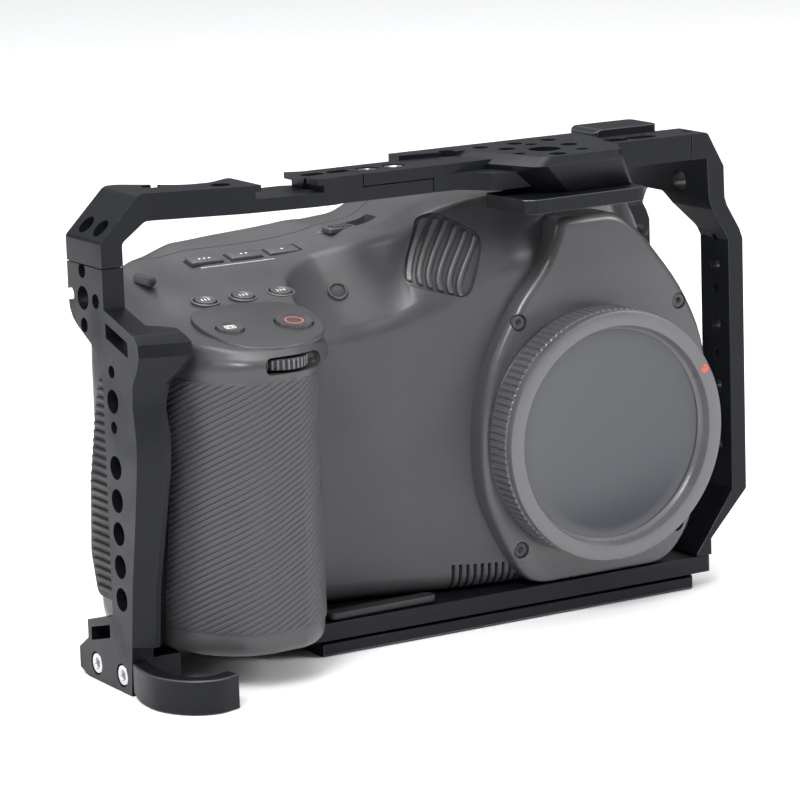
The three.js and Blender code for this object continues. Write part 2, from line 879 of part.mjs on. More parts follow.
// A rectangular key or slot, square to the deck.
function deckBlock(x, y, wide, deep, low, high) {
  const geometry = new THREE.BoxGeometry(wide, deep, high - low);
  geometry.translate(0, 0, (low + high) / 2);
  geometry.applyQuaternion(
    new THREE.Quaternion().setFromUnitVectors(new THREE.Vector3(0, 0, 1), deckNormal),
  );
  return solid(geometry.translate(x, y, deckZ(y)));
}

const keyWells = keyX.map((x) =>
  deckBlock(x, keyY, keySize[0] + 2 * buttonFit, keySize[1] + 2 * buttonFit, -6, 5),
);

// Power switch: a knob that slides sideways in a recess of the top.
const switchX = -53;
const switchY = -4.6;
const switchTop = 108.2;
const switchTravel = 5;
const switchBed = box(
  switchX - 6,
  switchX + 6 + switchTravel,
  switchY - 3,
  switchY + 3,
  switchTop - 4,
  120,
);

// Control wheel behind the window in the front collar.
const wheelX = -108;
const wheelY = -65.4;
const wheelZ = 87.2;
const wheelRadius = 8;
const wheelThick = 3;
const wheelPlay = 0.4;
const wheelSlot = box(-116, -100, -80, wheelY, wheelZ - 2, wheelZ + 2);
const wheelSpace = rod(
  [wheelX, wheelY, wheelZ - wheelThick / 2 - wheelPlay],
  [wheelX, wheelY, wheelZ + wheelThick / 2 + wheelPlay],
  wheelRadius + wheelPlay,
  32,
);

// ---- Shells ----

const wall = (z0, z1) => box(-160, 60, -90, partingY - clearance / 2, z0, z1);

function frontShell() {
  const face = outer.add(housingBlock()).intersect(wall(0, 140));
  const throat = turned([[0, -60], [throatRadius, -60], [throatRadius, -24], [0, -24]]);
  return cut(face, [
    inner,
    throat,
    rubberBed,
    ...buttonWells,
    ...keyWells,
    switchBed,
    wheelSlot,
    wheelSpace,
    ...housingScrewHoles,
    releaseWell,
    tallyWell,
    ...lugBeds,
    batteryMouth,
    grilleBed,
  ]);
}

const HOUSING_SCREWS = [[-23, 84.2], [30, 84.2], [-24, 20.6], [28, 20.6]];
const housingScrewRadius = 2;
const housingScrewHoles = HOUSING_SCREWS.map(([x, z]) =>
  rod([x, -60, z], [x, housingFront + 3, z], housingScrewRadius + clearance, 16),
);

const releaseX = 37;
const releaseZ = 44;
const releaseRadius = 2.1;
const releaseWell = rod([releaseX, -60, releaseZ], [releaseX, -43, releaseZ], releaseRadius + buttonFit);

// The tally lamp's ring sits square to the slanted shoulder between grip and hump.
const tallyCentre = new THREE.Vector3(-65.8, -30, 95.2);
const tallyNormal = new THREE.Vector3(-0.2, -0.66, 0.68).normalize();
const tallyAt = (d) => tallyCentre.clone().addScaledVector(tallyNormal, d).toArray();
const tallyRadius = 2.9;
const tallyWell = rod(tallyAt(-5), tallyAt(8), tallyRadius + clearance, 20);

// Strap lugs: a bar across a scooped bed at each end of the top.
const lugLeft = { x: -119, y: -14, z: 101.4 };
const lugRight = { x: 34.4, y: -22, z: 100.4 };
const lugBeds = [
  box(-140, lugLeft.x + 3.6, lugLeft.y - 5.6, lugLeft.y + 5.6, lugLeft.z - 1, 130),
  box(lugRight.x - 3, 60, lugRight.y - 5.6, lugRight.y + 5.6, lugRight.z - 3.4, 130),
];

// Battery mouth under the grip.
const batteryBox = { x0: -121.4, x1: -101.4, y0: -61, y1: -28, z0: 13.6, z1: 79.2 };
const batteryMouth = box(
  batteryBox.x0 - 1,
  batteryBox.x1 + 2.8, // room for the door's edge to turn
  batteryBox.y0 - 0.6,
  batteryBox.y1 + 1,
  0,
  16,
);

// Microphone grille beside the hump, cut from the body's own surface.
const grilleSection = (grow) =>
  prism(
    "y",
    [
      [-44.8 - grow, 113 + grow, 2],
      [-40 + grow, 115.2 + grow, 3],
      [-29 + grow, 108.6 + grow, 3],
      [-29.2 + grow, 104.8 - grow, 3],
      [-35 + grow, 91.4 - grow, 3],
      [-50.4 - grow, 95.8 - grow, 3],
      [-50 - grow, 99.6, 3],
    ],
    -60,
    -28,
  );
const grilleBed = grilleSection(clearance).subtract(bodyLoft(1.4 + clearance));

add("front_shell", frontShell(), "camera");

function rearShell() {
  const back = outer.intersect(box(-160, 60, partingY + clearance / 2, 40, 0, 140));
  return cut(back, [
    inner,
    ...REAR_BUTTONS.map(([, z]) =>
      rod([rearButtonX, 0, z], [rearButtonX, 30, z], rearButtonRadius + buttonFit),
    ),
    box(evf.x0, evf.x1, -2, bodyRear - 6, evf.z, 130),
    switchBed,
  ]);
}

const rearButtonX = -101;
const rearButtonRadius = 3;
const REAR_BUTTONS = [["menu_button", 78], ["play_button", 64]];
const evf = { x0: -16, x1: 12, z: 114.6 };

add("rear_shell", rearShell(), "camera");
add("grip_rubber", gripSkin.intersect(rubberRegion), "rubber");
add("mic_grille", outer.subtract(bodyLoft(1.4)).intersect(grilleSection(0)), "darkPlastic");

// ---- Card door: the ribbed panel at the left end ----

const doorOut = bodyLeft - 1.9;
function cardDoor() {
  return prism(
    "x",
    [
      [-39.8, 20.8],
      [-21, 20.8, 3],
      [-17.8, 32, 8],
      [-19.6, 52, 20],
      [-24, 70, 20],
      [-27.4, 82.6, 3],
      [-39.8, 82.6],
    ],
    doorOut,
    bodyLeft - clearance,
  );
}
add("card_door", cardDoor(), "blackRubber");

// ---- Lens mount, cap and small front pieces ----

add(
  "mount_ring",
  turned([
    [throatRadius, housingFront - 1.6],
    [ringRadius, housingFront - 1.6],
    [ringRadius, housingFront - clearance],
    [throatRadius, housingFront - clearance],
    [throatRadius, housingFront - 1.6],
  ]),
  "steel",
);
const capBack = housingFront - 1.9;
add(
  "body_cap",
  turned([
    [0, capFront + capRecessDepth],
    [capRecess - 2, capFront + capRecessDepth],
    [capRecess, capFront + capRecessDepth - 1.4],
    [capRecess, capFront],
    [capRadius - 1, capFront],
    [capRadius, capFront + 1],
    [capRadius, capBack],
    [throatRadius - 0.6, capBack],
    [throatRadius - 0.6, capBack + 5],
    [0, capBack + 5],
  ]),
  "cap",
);
HOUSING_SCREWS.forEach(([x, z], i) =>
  add(
    `housing_screw_${i + 1}`,
    screw([x, housingFront + 0.5, z], [0, 1, 0], housingScrewRadius, 1.6, 0.9, 2.3),
    "darkPlastic",
  ),
);
add(
  "release_button",
  rod([releaseX, housingFront - 1.2, releaseZ], [releaseX, -44.4, releaseZ], releaseRadius, 20),
  "darkPlastic",
);
add("tally_lamp", rod(tallyAt(-2.6), tallyAt(0.5), tallyRadius, 20), "darkPlastic");

// ---- Deck controls ----

Object.entries(DECK_BUTTONS).forEach(([name, button]) => add(name, roundButton(button), button.finish));
keyX.forEach((x, i) =>
  add(`function_key_${i + 1}`, deckBlock(x, keyY, keySize[0], keySize[1], -2, 0.7), "darkPlastic"),
);
add(
  "power_switch",
  box(switchX - 4.6, switchX + 4.6, switchY - 2.4, switchY + 2.4, switchTop - 3.4, switchTop + 1),
  "darkPlastic",
);
add(
  "control_wheel",
  rod(
    [wheelX, wheelY, wheelZ - wheelThick / 2],
    [wheelX, wheelY, wheelZ + wheelThick / 2],
    wheelRadius,
    32,
  ),
  "darkPlastic",
);

// ---- Strap lugs, eyepiece cover and rear buttons ----

function strapLug({ x, y, z }, lean) {
  const geometry = new THREE.CapsuleGeometry(1.5, 7.4, 3, 10);
  geometry.rotateY(lean);
  return solid(geometry.translate(x, y, z));
}
add("strap_lug_left", strapLug({ ...lugLeft, z: lugLeft.z + 1.2 }, 0), "steel");
add("strap_lug_right", strapLug({ ...lugRight, z: lugRight.z + 0.4 }, 0), "steel");
add(
  "eyepiece_cover",
  box(evf.x0 + clearance, evf.x1 - clearance, partingY + 1, bodyRear - 6.4, evf.z + clearance, 117),
  "darkPlastic",
);
REAR_BUTTONS.forEach(([name, z]) =>
  add(
    name,
    rod([rearButtonX, bodyRear - 4, z], [rearButtonX, bodyRear + 0.8, z], rearButtonRadius, 20),
    "darkPlastic",
  ),
);

// ---- Tilting screen: an arm hinged low on the body carries the screen at its top ----

const armPlateFront = bodyRear + clearance;
const screenFront = armPlateFront + 2;
const screenHinge = screenLow + screenHigh - 2;
add(
  "screen_arm",
  box(
    screenLeft + 12,
    screenLeft + screenWide - 12,
    armPlateFront,
    armPlateFront + 1.6,
    screenLow,
    screenHinge,
  ),
  "steel",
);
function screenFrame() {
  const frame = prism(
    "y",
    [
      [screenLeft, screenLow, 4],
      [screenLeft + screenWide, screenLow, 4],
      [screenLeft + screenWide, screenLow + screenHigh, 4],
      [screenLeft, screenLow + screenHigh, 4],
    ],
    screenFront,
    screenFront + 8,
  );
  return frame.subtract(glassBox(clearance));
}
const glassInset = 5.5;
function glassBox(grow) {
  return box(
    screenLeft + glassInset - grow,
    screenLeft + screenWide - glassInset + grow,
    screenFront + 6.2 - grow,
    screenFront + 7.8 + grow * 2,
    screenLow + glassInset + 1 - grow,
    screenLow + screenHigh - glassInset + grow,
  );
}
add("screen_frame", screenFrame(), "camera");
add("screen_glass", glassBox(0), "glass");

// ---- Socket doors on the right side ----

const socketDoorHinge = -30;
const socketDoorLong = 24.6;
[["socket_door_low", 31, 48], ["socket_door_high", 49, 66]].forEach(([name, low, high]) =>
  add(
    name,
    prism(
      "x",
      [
        [socketDoorHinge, low, 1],
        [socketDoorHinge + socketDoorLong, low, 3],
        [socketDoorHinge + socketDoorLong, high, 3],
        [socketDoorHinge, high, 1],
      ],
      bodyRight + clearance,
      bodyRight + 1.9,
    ),
    "blackRubber",
  ),
);

// ---- Battery and its door ----

add(
  "battery",
  box(batteryBox.x0, batteryBox.x1, batteryBox.y0, batteryBox.y1, batteryBox.z0, batteryBox.z1),
  "darkPlastic",
);
add(
  "battery_door",
  box(
    batteryBox.x0 - 0.6,
    batteryBox.x1 + 0.6,
    batteryBox.y0 - 0.2,
    batteryBox.y1 + 0.6,
    10.4,
    batteryBox.z0 - clearance,
  ),
  "camera",
);

// ---- Inside: sensor, board and fan ----

add("sensor_module", box(-21, 21, -20, -12, lensZ - 17, lensZ + 17), "darkPlastic");
const boardRoom = 5.4; // from the board's right edge to the shell's inside
const boardLow = bodyBottom + shellWall + boardRoom * 2;
add(
  "main_board",
  box(-78, bodyRight - shellWall - boardRoom, -6, -4.4, boardLow, 94.6 - shellWall),
  "circuit",
);
add("cooling_fan", rod([-20, -1, 52], [-20, 9, 52], 20, 24), "darkPlastic");

export default rig;
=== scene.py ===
"""Looks of the caged cinema camera: pieces, finishes, light and camera.

Every size in the classes is in millimetres and is turned into metres by ``mm``.
+X is to the right seen from the front, -Y is the way the lens looks and +Z is up.
"""

import logging
import math
from dataclasses import dataclass, field
from enum import Enum
from typing import Iterable, Sequence

import bmesh
import bpy
from mathutils import Matrix, Vector


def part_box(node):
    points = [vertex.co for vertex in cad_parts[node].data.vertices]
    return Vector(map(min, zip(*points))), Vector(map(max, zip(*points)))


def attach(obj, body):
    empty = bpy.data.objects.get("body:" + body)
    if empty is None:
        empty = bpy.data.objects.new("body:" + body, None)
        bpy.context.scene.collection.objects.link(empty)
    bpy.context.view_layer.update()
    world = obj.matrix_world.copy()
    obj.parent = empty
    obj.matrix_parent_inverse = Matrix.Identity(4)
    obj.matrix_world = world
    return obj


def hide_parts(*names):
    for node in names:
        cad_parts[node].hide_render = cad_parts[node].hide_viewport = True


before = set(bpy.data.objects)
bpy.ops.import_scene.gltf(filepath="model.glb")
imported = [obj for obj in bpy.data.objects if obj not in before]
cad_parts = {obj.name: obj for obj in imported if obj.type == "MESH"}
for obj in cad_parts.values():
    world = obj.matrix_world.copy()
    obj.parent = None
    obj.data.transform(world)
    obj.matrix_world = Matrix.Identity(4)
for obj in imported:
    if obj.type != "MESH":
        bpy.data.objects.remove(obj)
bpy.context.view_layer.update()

LOG = logging.getLogger("camera_rig")
Point = tuple[float, float, float]
Flat = tuple[float, float]

LENS_Z = 51.7
THROAT_RADIUS = 27.0
BACKWARDS = Vector((0.0, 1.0, 0.0))


def ramp(value: float, low: float, high: float) -> float:
    """Returns a smooth rise from 0 at one value to 1 at another."""
    t = min(1.0, max(0.0, (value - low) / (high - low)))
    return t * t * (3.0 - 2.0 * t)


def mm(value: float) -> float:
    """Returns a millimetre value in metres."""
    return value * 0.001


def at(x: float, y: float, z: float) -> Vector:
    """Returns a point given in millimetres as a vector in metres."""
    return Vector((x, y, z)) * 0.001


class Axis(Enum):
    """The three directions a shape can run along."""

    X = 0
    Y = 1
    Z = 2


# ---------------------------------------------------------------- finishes


@dataclass(frozen=True)
class Finish:
    """One surface finish: a base with fine grain and mottling of its tone and roughness.

    The grain sizes are in millimetres.
    """

    name: str
    colour: tuple[float, float, float]
    roughness: float
    slot: str
    metallic: float = 0.0
    coat: float = 0.0
    specular: float = 0.5
    grain: float = 0.35
    grain_depth: float = 0.12
    mottle: float = 14.0
    mottle_share: float = 0.12
    rough_share: float = 0.10
    speckle: float = 0.0
    brushed: float = 0.0

    def build(self) -> bpy.types.Material:
        """Makes the material, or returns it if it exists.

        Returns:
            The material with its node tree.
        """
        made = bpy.data.materials.get(self.name)
        if made:
            return made
        made = bpy.data.materials.new(self.name)
        made.use_nodes = True
        nodes, links = made.node_tree.nodes, made.node_tree.links
        shader = nodes["Principled BSDF"]
        shader.inputs["Metallic"].default_value = self.metallic
        shader.inputs["Coat Weight"].default_value = self.coat
        shader.inputs["Specular IOR Level"].default_value = self.specular
        shader.inputs["Coat Roughness"].default_value = 0.18
        coords = nodes.new("ShaderNodeTexCoord")
        stretch = nodes.new("ShaderNodeMapping")
        along = 1.0 - 0.96 * self.brushed
        stretch.inputs["Scale"].default_value = (along, 1.0, 1.0)
        links.new(coords.outputs["Object"], stretch.inputs["Vector"])
        broad = self._noise(made, coords.outputs["Object"], self.mottle, 3.0)
        fine = self._noise(made, stretch.outputs["Vector"], self.grain, 2.0)
        tint = self._spread(made, broad, 1.0 - self.mottle_share, 1.0 + self.mottle_share)
        if self.speckle:
            dots = self._spread(made, fine, 1.0 - self.speckle, 1.0 + self.speckle)
            both = nodes.new("ShaderNodeMath")
            both.operation = "MULTIPLY"
            links.new(tint, both.inputs[0])
            links.new(dots, both.inputs[1])
            tint = both.outputs[0]
        colour = nodes.new("ShaderNodeVectorMath")
        colour.operation = "SCALE"
        colour.inputs[0].default_value = self.colour
        links.new(tint, colour.inputs["Scale"])
        links.new(colour.outputs[0], shader.inputs["Base Color"])
        low, high = self.roughness - self.rough_share, self.roughness + self.rough_share
        links.new(self._spread(made, broad, max(0.05, low), high), shader.inputs["Roughness"])
        bump = nodes.new("ShaderNodeBump")
        bump.inputs["Strength"].default_value = self.grain_depth
        bump.inputs["Distance"].default_value = mm(self.grain * 0.4)
        links.new(fine, bump.inputs["Height"])
        links.new(bump.outputs["Normal"], shader.inputs["Normal"])
        return made

    @staticmethod
    def _noise(
        made: bpy.types.Material, vector: bpy.types.NodeSocket, size: float, detail: float
    ) -> bpy.types.NodeSocket:
        """Adds a noise pattern.

        Args:
            made: The material.
            vector: The coordinates that the pattern reads.
            size: The size of its grains in millimetres.
            detail: How many finer layers it has.

        Returns:
            The pattern's value.
        """
        node = made.node_tree.nodes.new("ShaderNodeTexNoise")
        node.inputs["Scale"].default_value = 1.0 / mm(size)
        node.inputs["Detail"].default_value = detail
        made.node_tree.links.new(vector, node.inputs["Vector"])
        return node.outputs["Fac"]

    @staticmethod
    def _spread(
        made: bpy.types.Material, value: bpy.types.NodeSocket, low: float, high: float
    ) -> bpy.types.NodeSocket:
        """Maps a noise value to a range.

        Args:
            made: The material.
            value: The noise value.
            low: What the noise's dark grains become.
            high: What its bright grains become.

        Returns:
            The mapped value.
        """
        node = made.node_tree.nodes.new("ShaderNodeMapRange")
        node.inputs["From Min"].default_value = 0.3
        node.inputs["From Max"].default_value = 0.7
        node.inputs["To Min"].default_value = low
        node.inputs["To Max"].default_value = high
        made.node_tree.links.new(value, node.inputs["Value"])
        return node.outputs["Result"]


ANODISED = Finish(
    "anodised_black", (0.0056, 0.0061, 0.0092), 0.38, "anodised",
    metallic=0.0, specular=0.2, grain=0.22, grain_depth=0.22, speckle=0.22, mottle_share=0.06,
)
# Lighter, more metallic colour for the cage's bevels: a painted highlight along the edges, not a
# bare machined surface.
PAINTED_EDGE_HIGHLIGHT = Finish(
    "anodised_painted_edge_highlight", (0.085, 0.088, 0.105), 0.26, "anodised",
    metallic=0.8, grain=0.3, grain_depth=0.05, mottle_share=0.05,
)
STEEL = Finish(
    "satin_steel", (0.60, 0.60, 0.61), 0.26, "steel",
    metallic=1.0, grain=0.2, grain_depth=0.06, mottle_share=0.05, brushed=0.6,
)
SHELL = Finish(
    "moulded_grey", (0.048, 0.048, 0.052), 0.40, "camera_shell",
    coat=0.05, specular=0.4, grain=0.28, grain_depth=0.16, speckle=0.08, mottle_share=0.05,
)
SHELL_SMOOTH = Finish(
    "moulded_grey_smooth", (0.060, 0.060, 0.064), 0.33, "camera_shell",
    coat=0.12, grain=0.3, grain_depth=0.05, mottle_share=0.04,
)
CAP = Finish(
    "cap_grey", (0.098, 0.098, 0.104), 0.34, "cap_plastic",
    coat=0.1, grain=0.25, grain_depth=0.08, mottle_share=0.04,
)
CAP_FACE = Finish(
    "cap_face", (0.034, 0.036, 0.044), 0.26, "cap_plastic",
    coat=0.35, grain=0.2, grain_depth=0.03, mottle_share=0.02, mottle=60.0, rough_share=0.02,
)
RUBBER = Finish(
    "grip_rubber_grey", (0.046, 0.046, 0.050), 0.55, "grip_rubber",
    grain=0.18, grain_depth=0.3, speckle=0.12, mottle_share=0.08,
)
BLACK_RUBBER = Finish(
    "rubber_black", (0.010, 0.010, 0.012), 0.55, "black_rubber",
    grain=0.2, grain_depth=0.25, mottle_share=0.1,
)
DARK = Finish(
    "dark_plastic", (0.028, 0.028, 0.031), 0.42, "dark_plastic",
    grain=0.2, grain_depth=0.12, mottle_share=0.06,
)
BUTTON = Finish(
    "button_grey", (0.052, 0.052, 0.056), 0.36, "dark_plastic",
    coat=0.1, grain=0.2, grain_depth=0.06, mottle_share=0.05,
)
PRINT = Finish(
    "white_print", (0.72, 0.72, 0.72), 0.5, "dark_plastic",
    grain=0.15, grain_depth=0.05, mottle_share=0.04,
)
RECORD_PRINT = Finish(
    "orange_print", (0.50, 0.17, 0.12), 0.5, "dark_plastic",
    grain=0.15, grain_depth=0.05, mottle_share=0.04,
)
RED = Finish(
    "red_paint", (0.62, 0.07, 0.04), 0.35, "dark_plastic",
    grain=0.2, grain_depth=0.05, mottle_share=0.05,
)
SCREEN = Finish(
    "screen_black", (0.012, 0.013, 0.016), 0.08, "screen_glass",
    coat=1.0, grain=0.3, grain_depth=0.0, mottle_share=0.05, rough_share=0.02,
)
BOARD = Finish("board_green", (0.02, 0.09, 0.04), 0.5, "circuit", grain=0.4)


# ---------------------------------------------------------------- mesh work


def finish_piece(
    name: str,
    mesh: bmesh.types.BMesh,
    finishes: Sequence[Finish],
    body: str = "rig",
    sharp: float = 32.0,
    replaced: Iterable[str] = (),
) -> bpy.types.Object:
    """Turns a mesh into a piece that rides on a body.

    Args:
        name: The piece's name.
        mesh: Its mesh, which is freed.
        finishes: The finishes of its material indices, in order.
        body: The moving body it belongs to.
        sharp: The angle in degrees past which an edge looks sharp.
        replaced: The nodes that it stands for.

    Returns:
        The new object.
    """
    data = bpy.data.meshes.new(name)
    mesh.to_mesh(data)
    mesh.free()
    data.shade_smooth()
    data.set_sharp_from_angle(angle=math.radians(sharp))
    for finish in finishes:
        data.materials.append(finish.build())
    piece = bpy.data.objects.new(name, data)
    bpy.context.scene.collection.objects.link(piece)
    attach(piece, body)
    if replaced:
        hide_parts(*replaced)
    LOG.info("%s: %d faces on %s", name, len(data.polygons), body)
    return piece


def weld_faces(mesh: bmesh.types.BMesh) -> None:
    """Merges doubles and turns every face outwards."""
    bmesh.ops.remove_doubles(mesh, verts=mesh.verts, dist=1e-7)
    bmesh.ops.recalc_face_normals(mesh, faces=mesh.faces)


def cast_copy(node: str) -> bmesh.types.BMesh:
    """Copies a node's mesh, with doubles merged and flat faces joined.

    Args:
        node: The node to copy.

    Returns:
        The copy.
    """
    mesh = bmesh.new()
    mesh.from_mesh(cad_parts[node].data)
    bmesh.ops.remove_doubles(mesh, verts=mesh.verts, dist=2e-6)
    bmesh.ops.dissolve_limit(
        mesh,
        angle_limit=math.radians(1.0),
        use_dissolve_boundaries=False,
        verts=mesh.verts,
        edges=mesh.edges,
        delimit={"NORMAL"},
    )
    return mesh


def soften(
    mesh: bmesh.types.BMesh, width: float, angle: float = 24.0, segments: int = 2, index: int = -1
) -> None:
    """Bevels every edge sharper than an angle.

    Args:
        mesh: The mesh to bevel.
        width: The bevel's width in millimetres.
        angle: The least angle between two faces, in degrees.
        segments: The bevel's segments.
        index: The material index of the bevel's faces, or -1 to keep theirs.
    """
    edges = [
        e for e in mesh.edges
        if len(e.link_faces) == 2 and e.calc_face_angle(0.0) > math.radians(angle)
    ]
    made = bmesh.ops.bevel(
        mesh, geom=edges, offset=mm(width), offset_type="OFFSET", segments=segments,
        profile=0.5, affect="EDGES", clamp_overlap=True, material=-1,
    )
    if index >= 0:
        for face in made["faces"]:
            face.material_index = index


def block(
    low: Point, high: Point, bevel: float = 0.0, segments: int = 2
) -> bmesh.types.BMesh:
    """Makes a box between two corners.

    Args:
        low: Its low corner in millimetres.
        high: Its high corner.
        bevel: The width of its rounded edges.
        segments: The segments of those edges.

    Returns:
        The mesh.
    """
    mesh = bmesh.new()
    bmesh.ops.create_cube(mesh, size=1.0)
    size = [mm(b - a) for a, b in zip(low, high)]
    bmesh.ops.scale(mesh, vec=size, verts=mesh.verts)
    middle = at(*[(a + b) / 2 for a, b in zip(low, high)])
    bmesh.ops.translate(mesh, vec=middle, verts=mesh.verts)
    if bevel:
        soften(mesh, bevel, 30.0, segments)
    return mesh


def lathe(
    profile: Sequence[Flat], centre: Vector, axis: Vector, steps: int = 48
) -> bmesh.types.BMesh:
    """Spins a profile of (radius, height) points about an axis.

    Args:
        profile: The points in millimetres. It starts and ends on the axis or closes.
        centre: The point on the axis at height zero, in metres.
        axis: The direction that height grows in.
        steps: The steps of the spin.

    Returns:
        The mesh.
    """
    mesh = bmesh.new()
    chain = [mesh.verts.new((mm(r), 0.0, mm(h))) for r, h in profile]
    for a, b in zip(chain, chain[1:]):
        mesh.edges.new((a, b))
    if profile[0][0] > 0.0:
        mesh.edges.new((chain[-1], chain[0]))
    bmesh.ops.spin(
        mesh, geom=mesh.verts[:] + mesh.edges[:], cent=(0, 0, 0), axis=(0, 0, 1),
        dvec=(0, 0, 0), angle=math.tau, steps=steps, use_merge=True,
    )
    weld_faces(mesh)
    turn = axis.to_track_quat("Z", "Y").to_matrix().to_4x4()
    bmesh.ops.transform(mesh, matrix=Matrix.Translation(centre) @ turn, verts=mesh.verts)
    return mesh


def slab(
    outline: Sequence[Flat], axis: Axis, low: float, high: float
) -> bmesh.types.BMesh:
    """Extrudes an outline along an axis.

    Args:
        outline: Corners in the plane across the axis, in X, Y, Z order.
        axis: The axis to extrude along.
        low: Where it starts.
        high: Where it ends.

    Returns:
        The mesh.
    """
    mesh = bmesh.new()

    def corner(u: float, v: float) -> Vector:
        """Returns one corner of the first face."""
        return {
            Axis.X: at(low, u, v),
            Axis.Y: at(u, low, v),
            Axis.Z: at(u, v, low),
        }[axis]

    face = mesh.faces.new([mesh.verts.new(corner(u, v)) for u, v in outline])
    made = bmesh.ops.extrude_face_region(mesh, geom=[face])
    step = Vector((0, 0, 0))
    step[axis.value] = mm(high - low)
    verts = [v for v in made["geom"] if isinstance(v, bmesh.types.BMVert)]
    bmesh.ops.translate(mesh, vec=step, verts=verts)
    bmesh.ops.recalc_face_normals(mesh, faces=mesh.faces)
    return mesh


def rounded(corners: Sequence[tuple[float, float, float]], steps: int = 5) -> list[Flat]:
    """Rounds the corners of an outline.

    Args:
        corners: The corners as (u, v, radius).
        steps: The points along each rounded corner.

    Returns:
        The rounded outline.
    """
    points: list[Flat] = []
    for i, (u, v, radius) in enumerate(corners):
        here = Vector((u, v))
        back = Vector(corners[i - 1][:2]) - here
        ahead = Vector(corners[(i + 1) % len(corners)][:2]) - here
        if radius < 0.1:
            points.append((u, v))
            continue
        reach = min(radius, back.length * 0.48, ahead.length * 0.48)
        a, b = here + back.normalized() * reach, here + ahead.normalized() * reach
        for k in range(steps + 1):
            t = k / steps
            p = a * (1 - t) ** 2 + here * 2 * t * (1 - t) + b * t ** 2
            points.append((p.x, p.y))
    return points


def merge_into(target: bmesh.types.BMesh, part: bmesh.types.BMesh, index: int = 0) -> None:
    """Adds one mesh to another.

    Args:
        target: The mesh that grows.
        part: The mesh that is added and freed.
        index: The material index of the added faces.
    """
    for face in part.faces:
        face.material_index = index
    data = bpy.data.meshes.new("part")
    part.to_mesh(data)
    part.free()
    target.from_mesh(data)
    bpy.data.meshes.remove(data)


def depth_at(points: Sequence[Flat], z: float) -> float:
    """Finds the depth of a line at a height.

    Args:
        points: The line as (y, z) points.
        z: The height.

    Returns:
        The depth, or the last point's where the line doesn't pass the height.
    """
    for (y0, z0), (y1, z1) in zip(points, points[1:]):
        if z0 <= z <= z1 and z1 > z0:
            return y0 + (y1 - y0) * (z - z0) / (z1 - z0)
    return points[-1][0]


def dress(
    node: str, name: str, finish: Finish, width: float, angle: float = 30.0, segments: int = 2,
    body: str = "rig",
) -> None:
    """Builds a piece in a node's own shape, with rounded edges.

    Args:
        node: The node it stands for.
        name: The piece's name.
        finish: Its finish.
        width: The width of its rounded edges, or 0 for none.
        angle: The least angle of an edge that is rounded, in degrees.
        segments: The segments of those edges.
        body: The body it rides on.
    """
    mesh = cast_copy(node)
    if width:
        soften(mesh, width, angle, segments)
    finish_piece(name, mesh, (finish,), body, replaced=(node,))


def throat_cutter() -> bmesh.types.BMesh:
    """Returns the round shape that opens the throat behind the lens mount."""
    profile = [(0, 0), (THROAT_RADIUS, 0), (THROAT_RADIUS, 30), (0, 30)]
    return lathe(profile, at(0, -56, LENS_Z), BACKWARDS, 64)


def carve(piece: bpy.types.Object, cutters: bmesh.types.BMesh, sharp: float) -> None:
    """Cuts closed shapes out of a piece.

    Args:
        piece: The piece to cut.
        cutters: The shapes, which are freed.
        sharp: The angle in degrees past which an edge looks sharp.
    """
    data = bpy.data.meshes.new("cutters")
    cutters.to_mesh(data)
    cutters.free()
    tool = bpy.data.objects.new("cutters", data)
    bpy.context.scene.collection.objects.link(tool)
    cut = piece.modifiers.new("cut", "BOOLEAN")
    cut.operation = "DIFFERENCE"
    cut.solver = "EXACT"
    cut.use_self = True
    cut.object = tool
    graph = bpy.context.evaluated_depsgraph_get()
    cut_mesh = bpy.data.meshes.new_from_object(piece.evaluated_get(graph))
    piece.modifiers.clear()
    old = piece.data
    piece.data = cut_mesh
    cut_mesh.name = old.name
    bpy.data.meshes.remove(old)
    bpy.data.objects.remove(tool)
    bpy.data.meshes.remove(data)
    cut_mesh.set_sharp_from_angle(angle=math.radians(sharp))


# ---------------------------------------------------------------- cage


@dataclass
class Cage:
    """The machined cage: bars, side plate, nose, frame, base and their screws."""

    edge: float = 0.35
    screw_edge: float = 0.25
    parts: tuple[str, ...] = (
        "side_plate", "foot_arm", "left_arch", "top_plate", "nose_hook", "rear_rail",
        "right_frame", "base_plate", "dovetail_rail", "locating_key",
    )
    screws: tuple[str, ...] = (
        "side_screw_1", "side_screw_2", "lap_screw_1", "lap_screw_2", "camera_screw",
    )

    def build(self) -> None:
        """Builds every machined piece; the cage's bevels carry a painted highlight, the screws'
        bevels stay steel.
        """
        for node in self.parts:
            self._machined(node, self.edge, (ANODISED, PAINTED_EDGE_HIGHLIGHT))
        for node in self.screws:
            self._machined(node, self.screw_edge, (STEEL, STEEL))

    def _machined(self, node: str, width: float, finishes: tuple[Finish, Finish]) -> None:
        """Builds one machined piece.

        Args:
            node: The node it stands for.
            width: The width of its broken edges.
            finishes: The finish of its faces and the finish of its bevels, which on the cage is a
                painted highlight.
        """
        mesh = cast_copy(node)
        # The bevels take the second finish: on the cage, a painted edge highlight.
        soften(mesh, width, 26.0, 1, 1)
        piece = finish_piece(node + "_body", mesh, finishes, sharp=30.0, replaced=(node,))
        weighted = piece.modifiers.new("weighted", "WEIGHTED_NORMAL")
        weighted.keep_sharp = True


# ---------------------------------------------------------------- camera shell


@dataclass
class Station:
    """One slice across the camera body, in millimetres."""

    x: float
    front: float
    shoulder: float
    brow_y: float
    brow_z: float
    rear: float
    rear_z: float
    under: float

    def values(self) -> list[float]:
        """Returns the sizes that change from slice to slice."""
        return [
            self.front, self.shoulder, self.brow_y, self.brow_z, self.rear, self.rear_z, self.under,
        ]


def deck_z(y: float) -> float:
    """Returns the height of the sloping control deck at a depth."""
    return 92.0 + 0.2 * (y + 66.0)


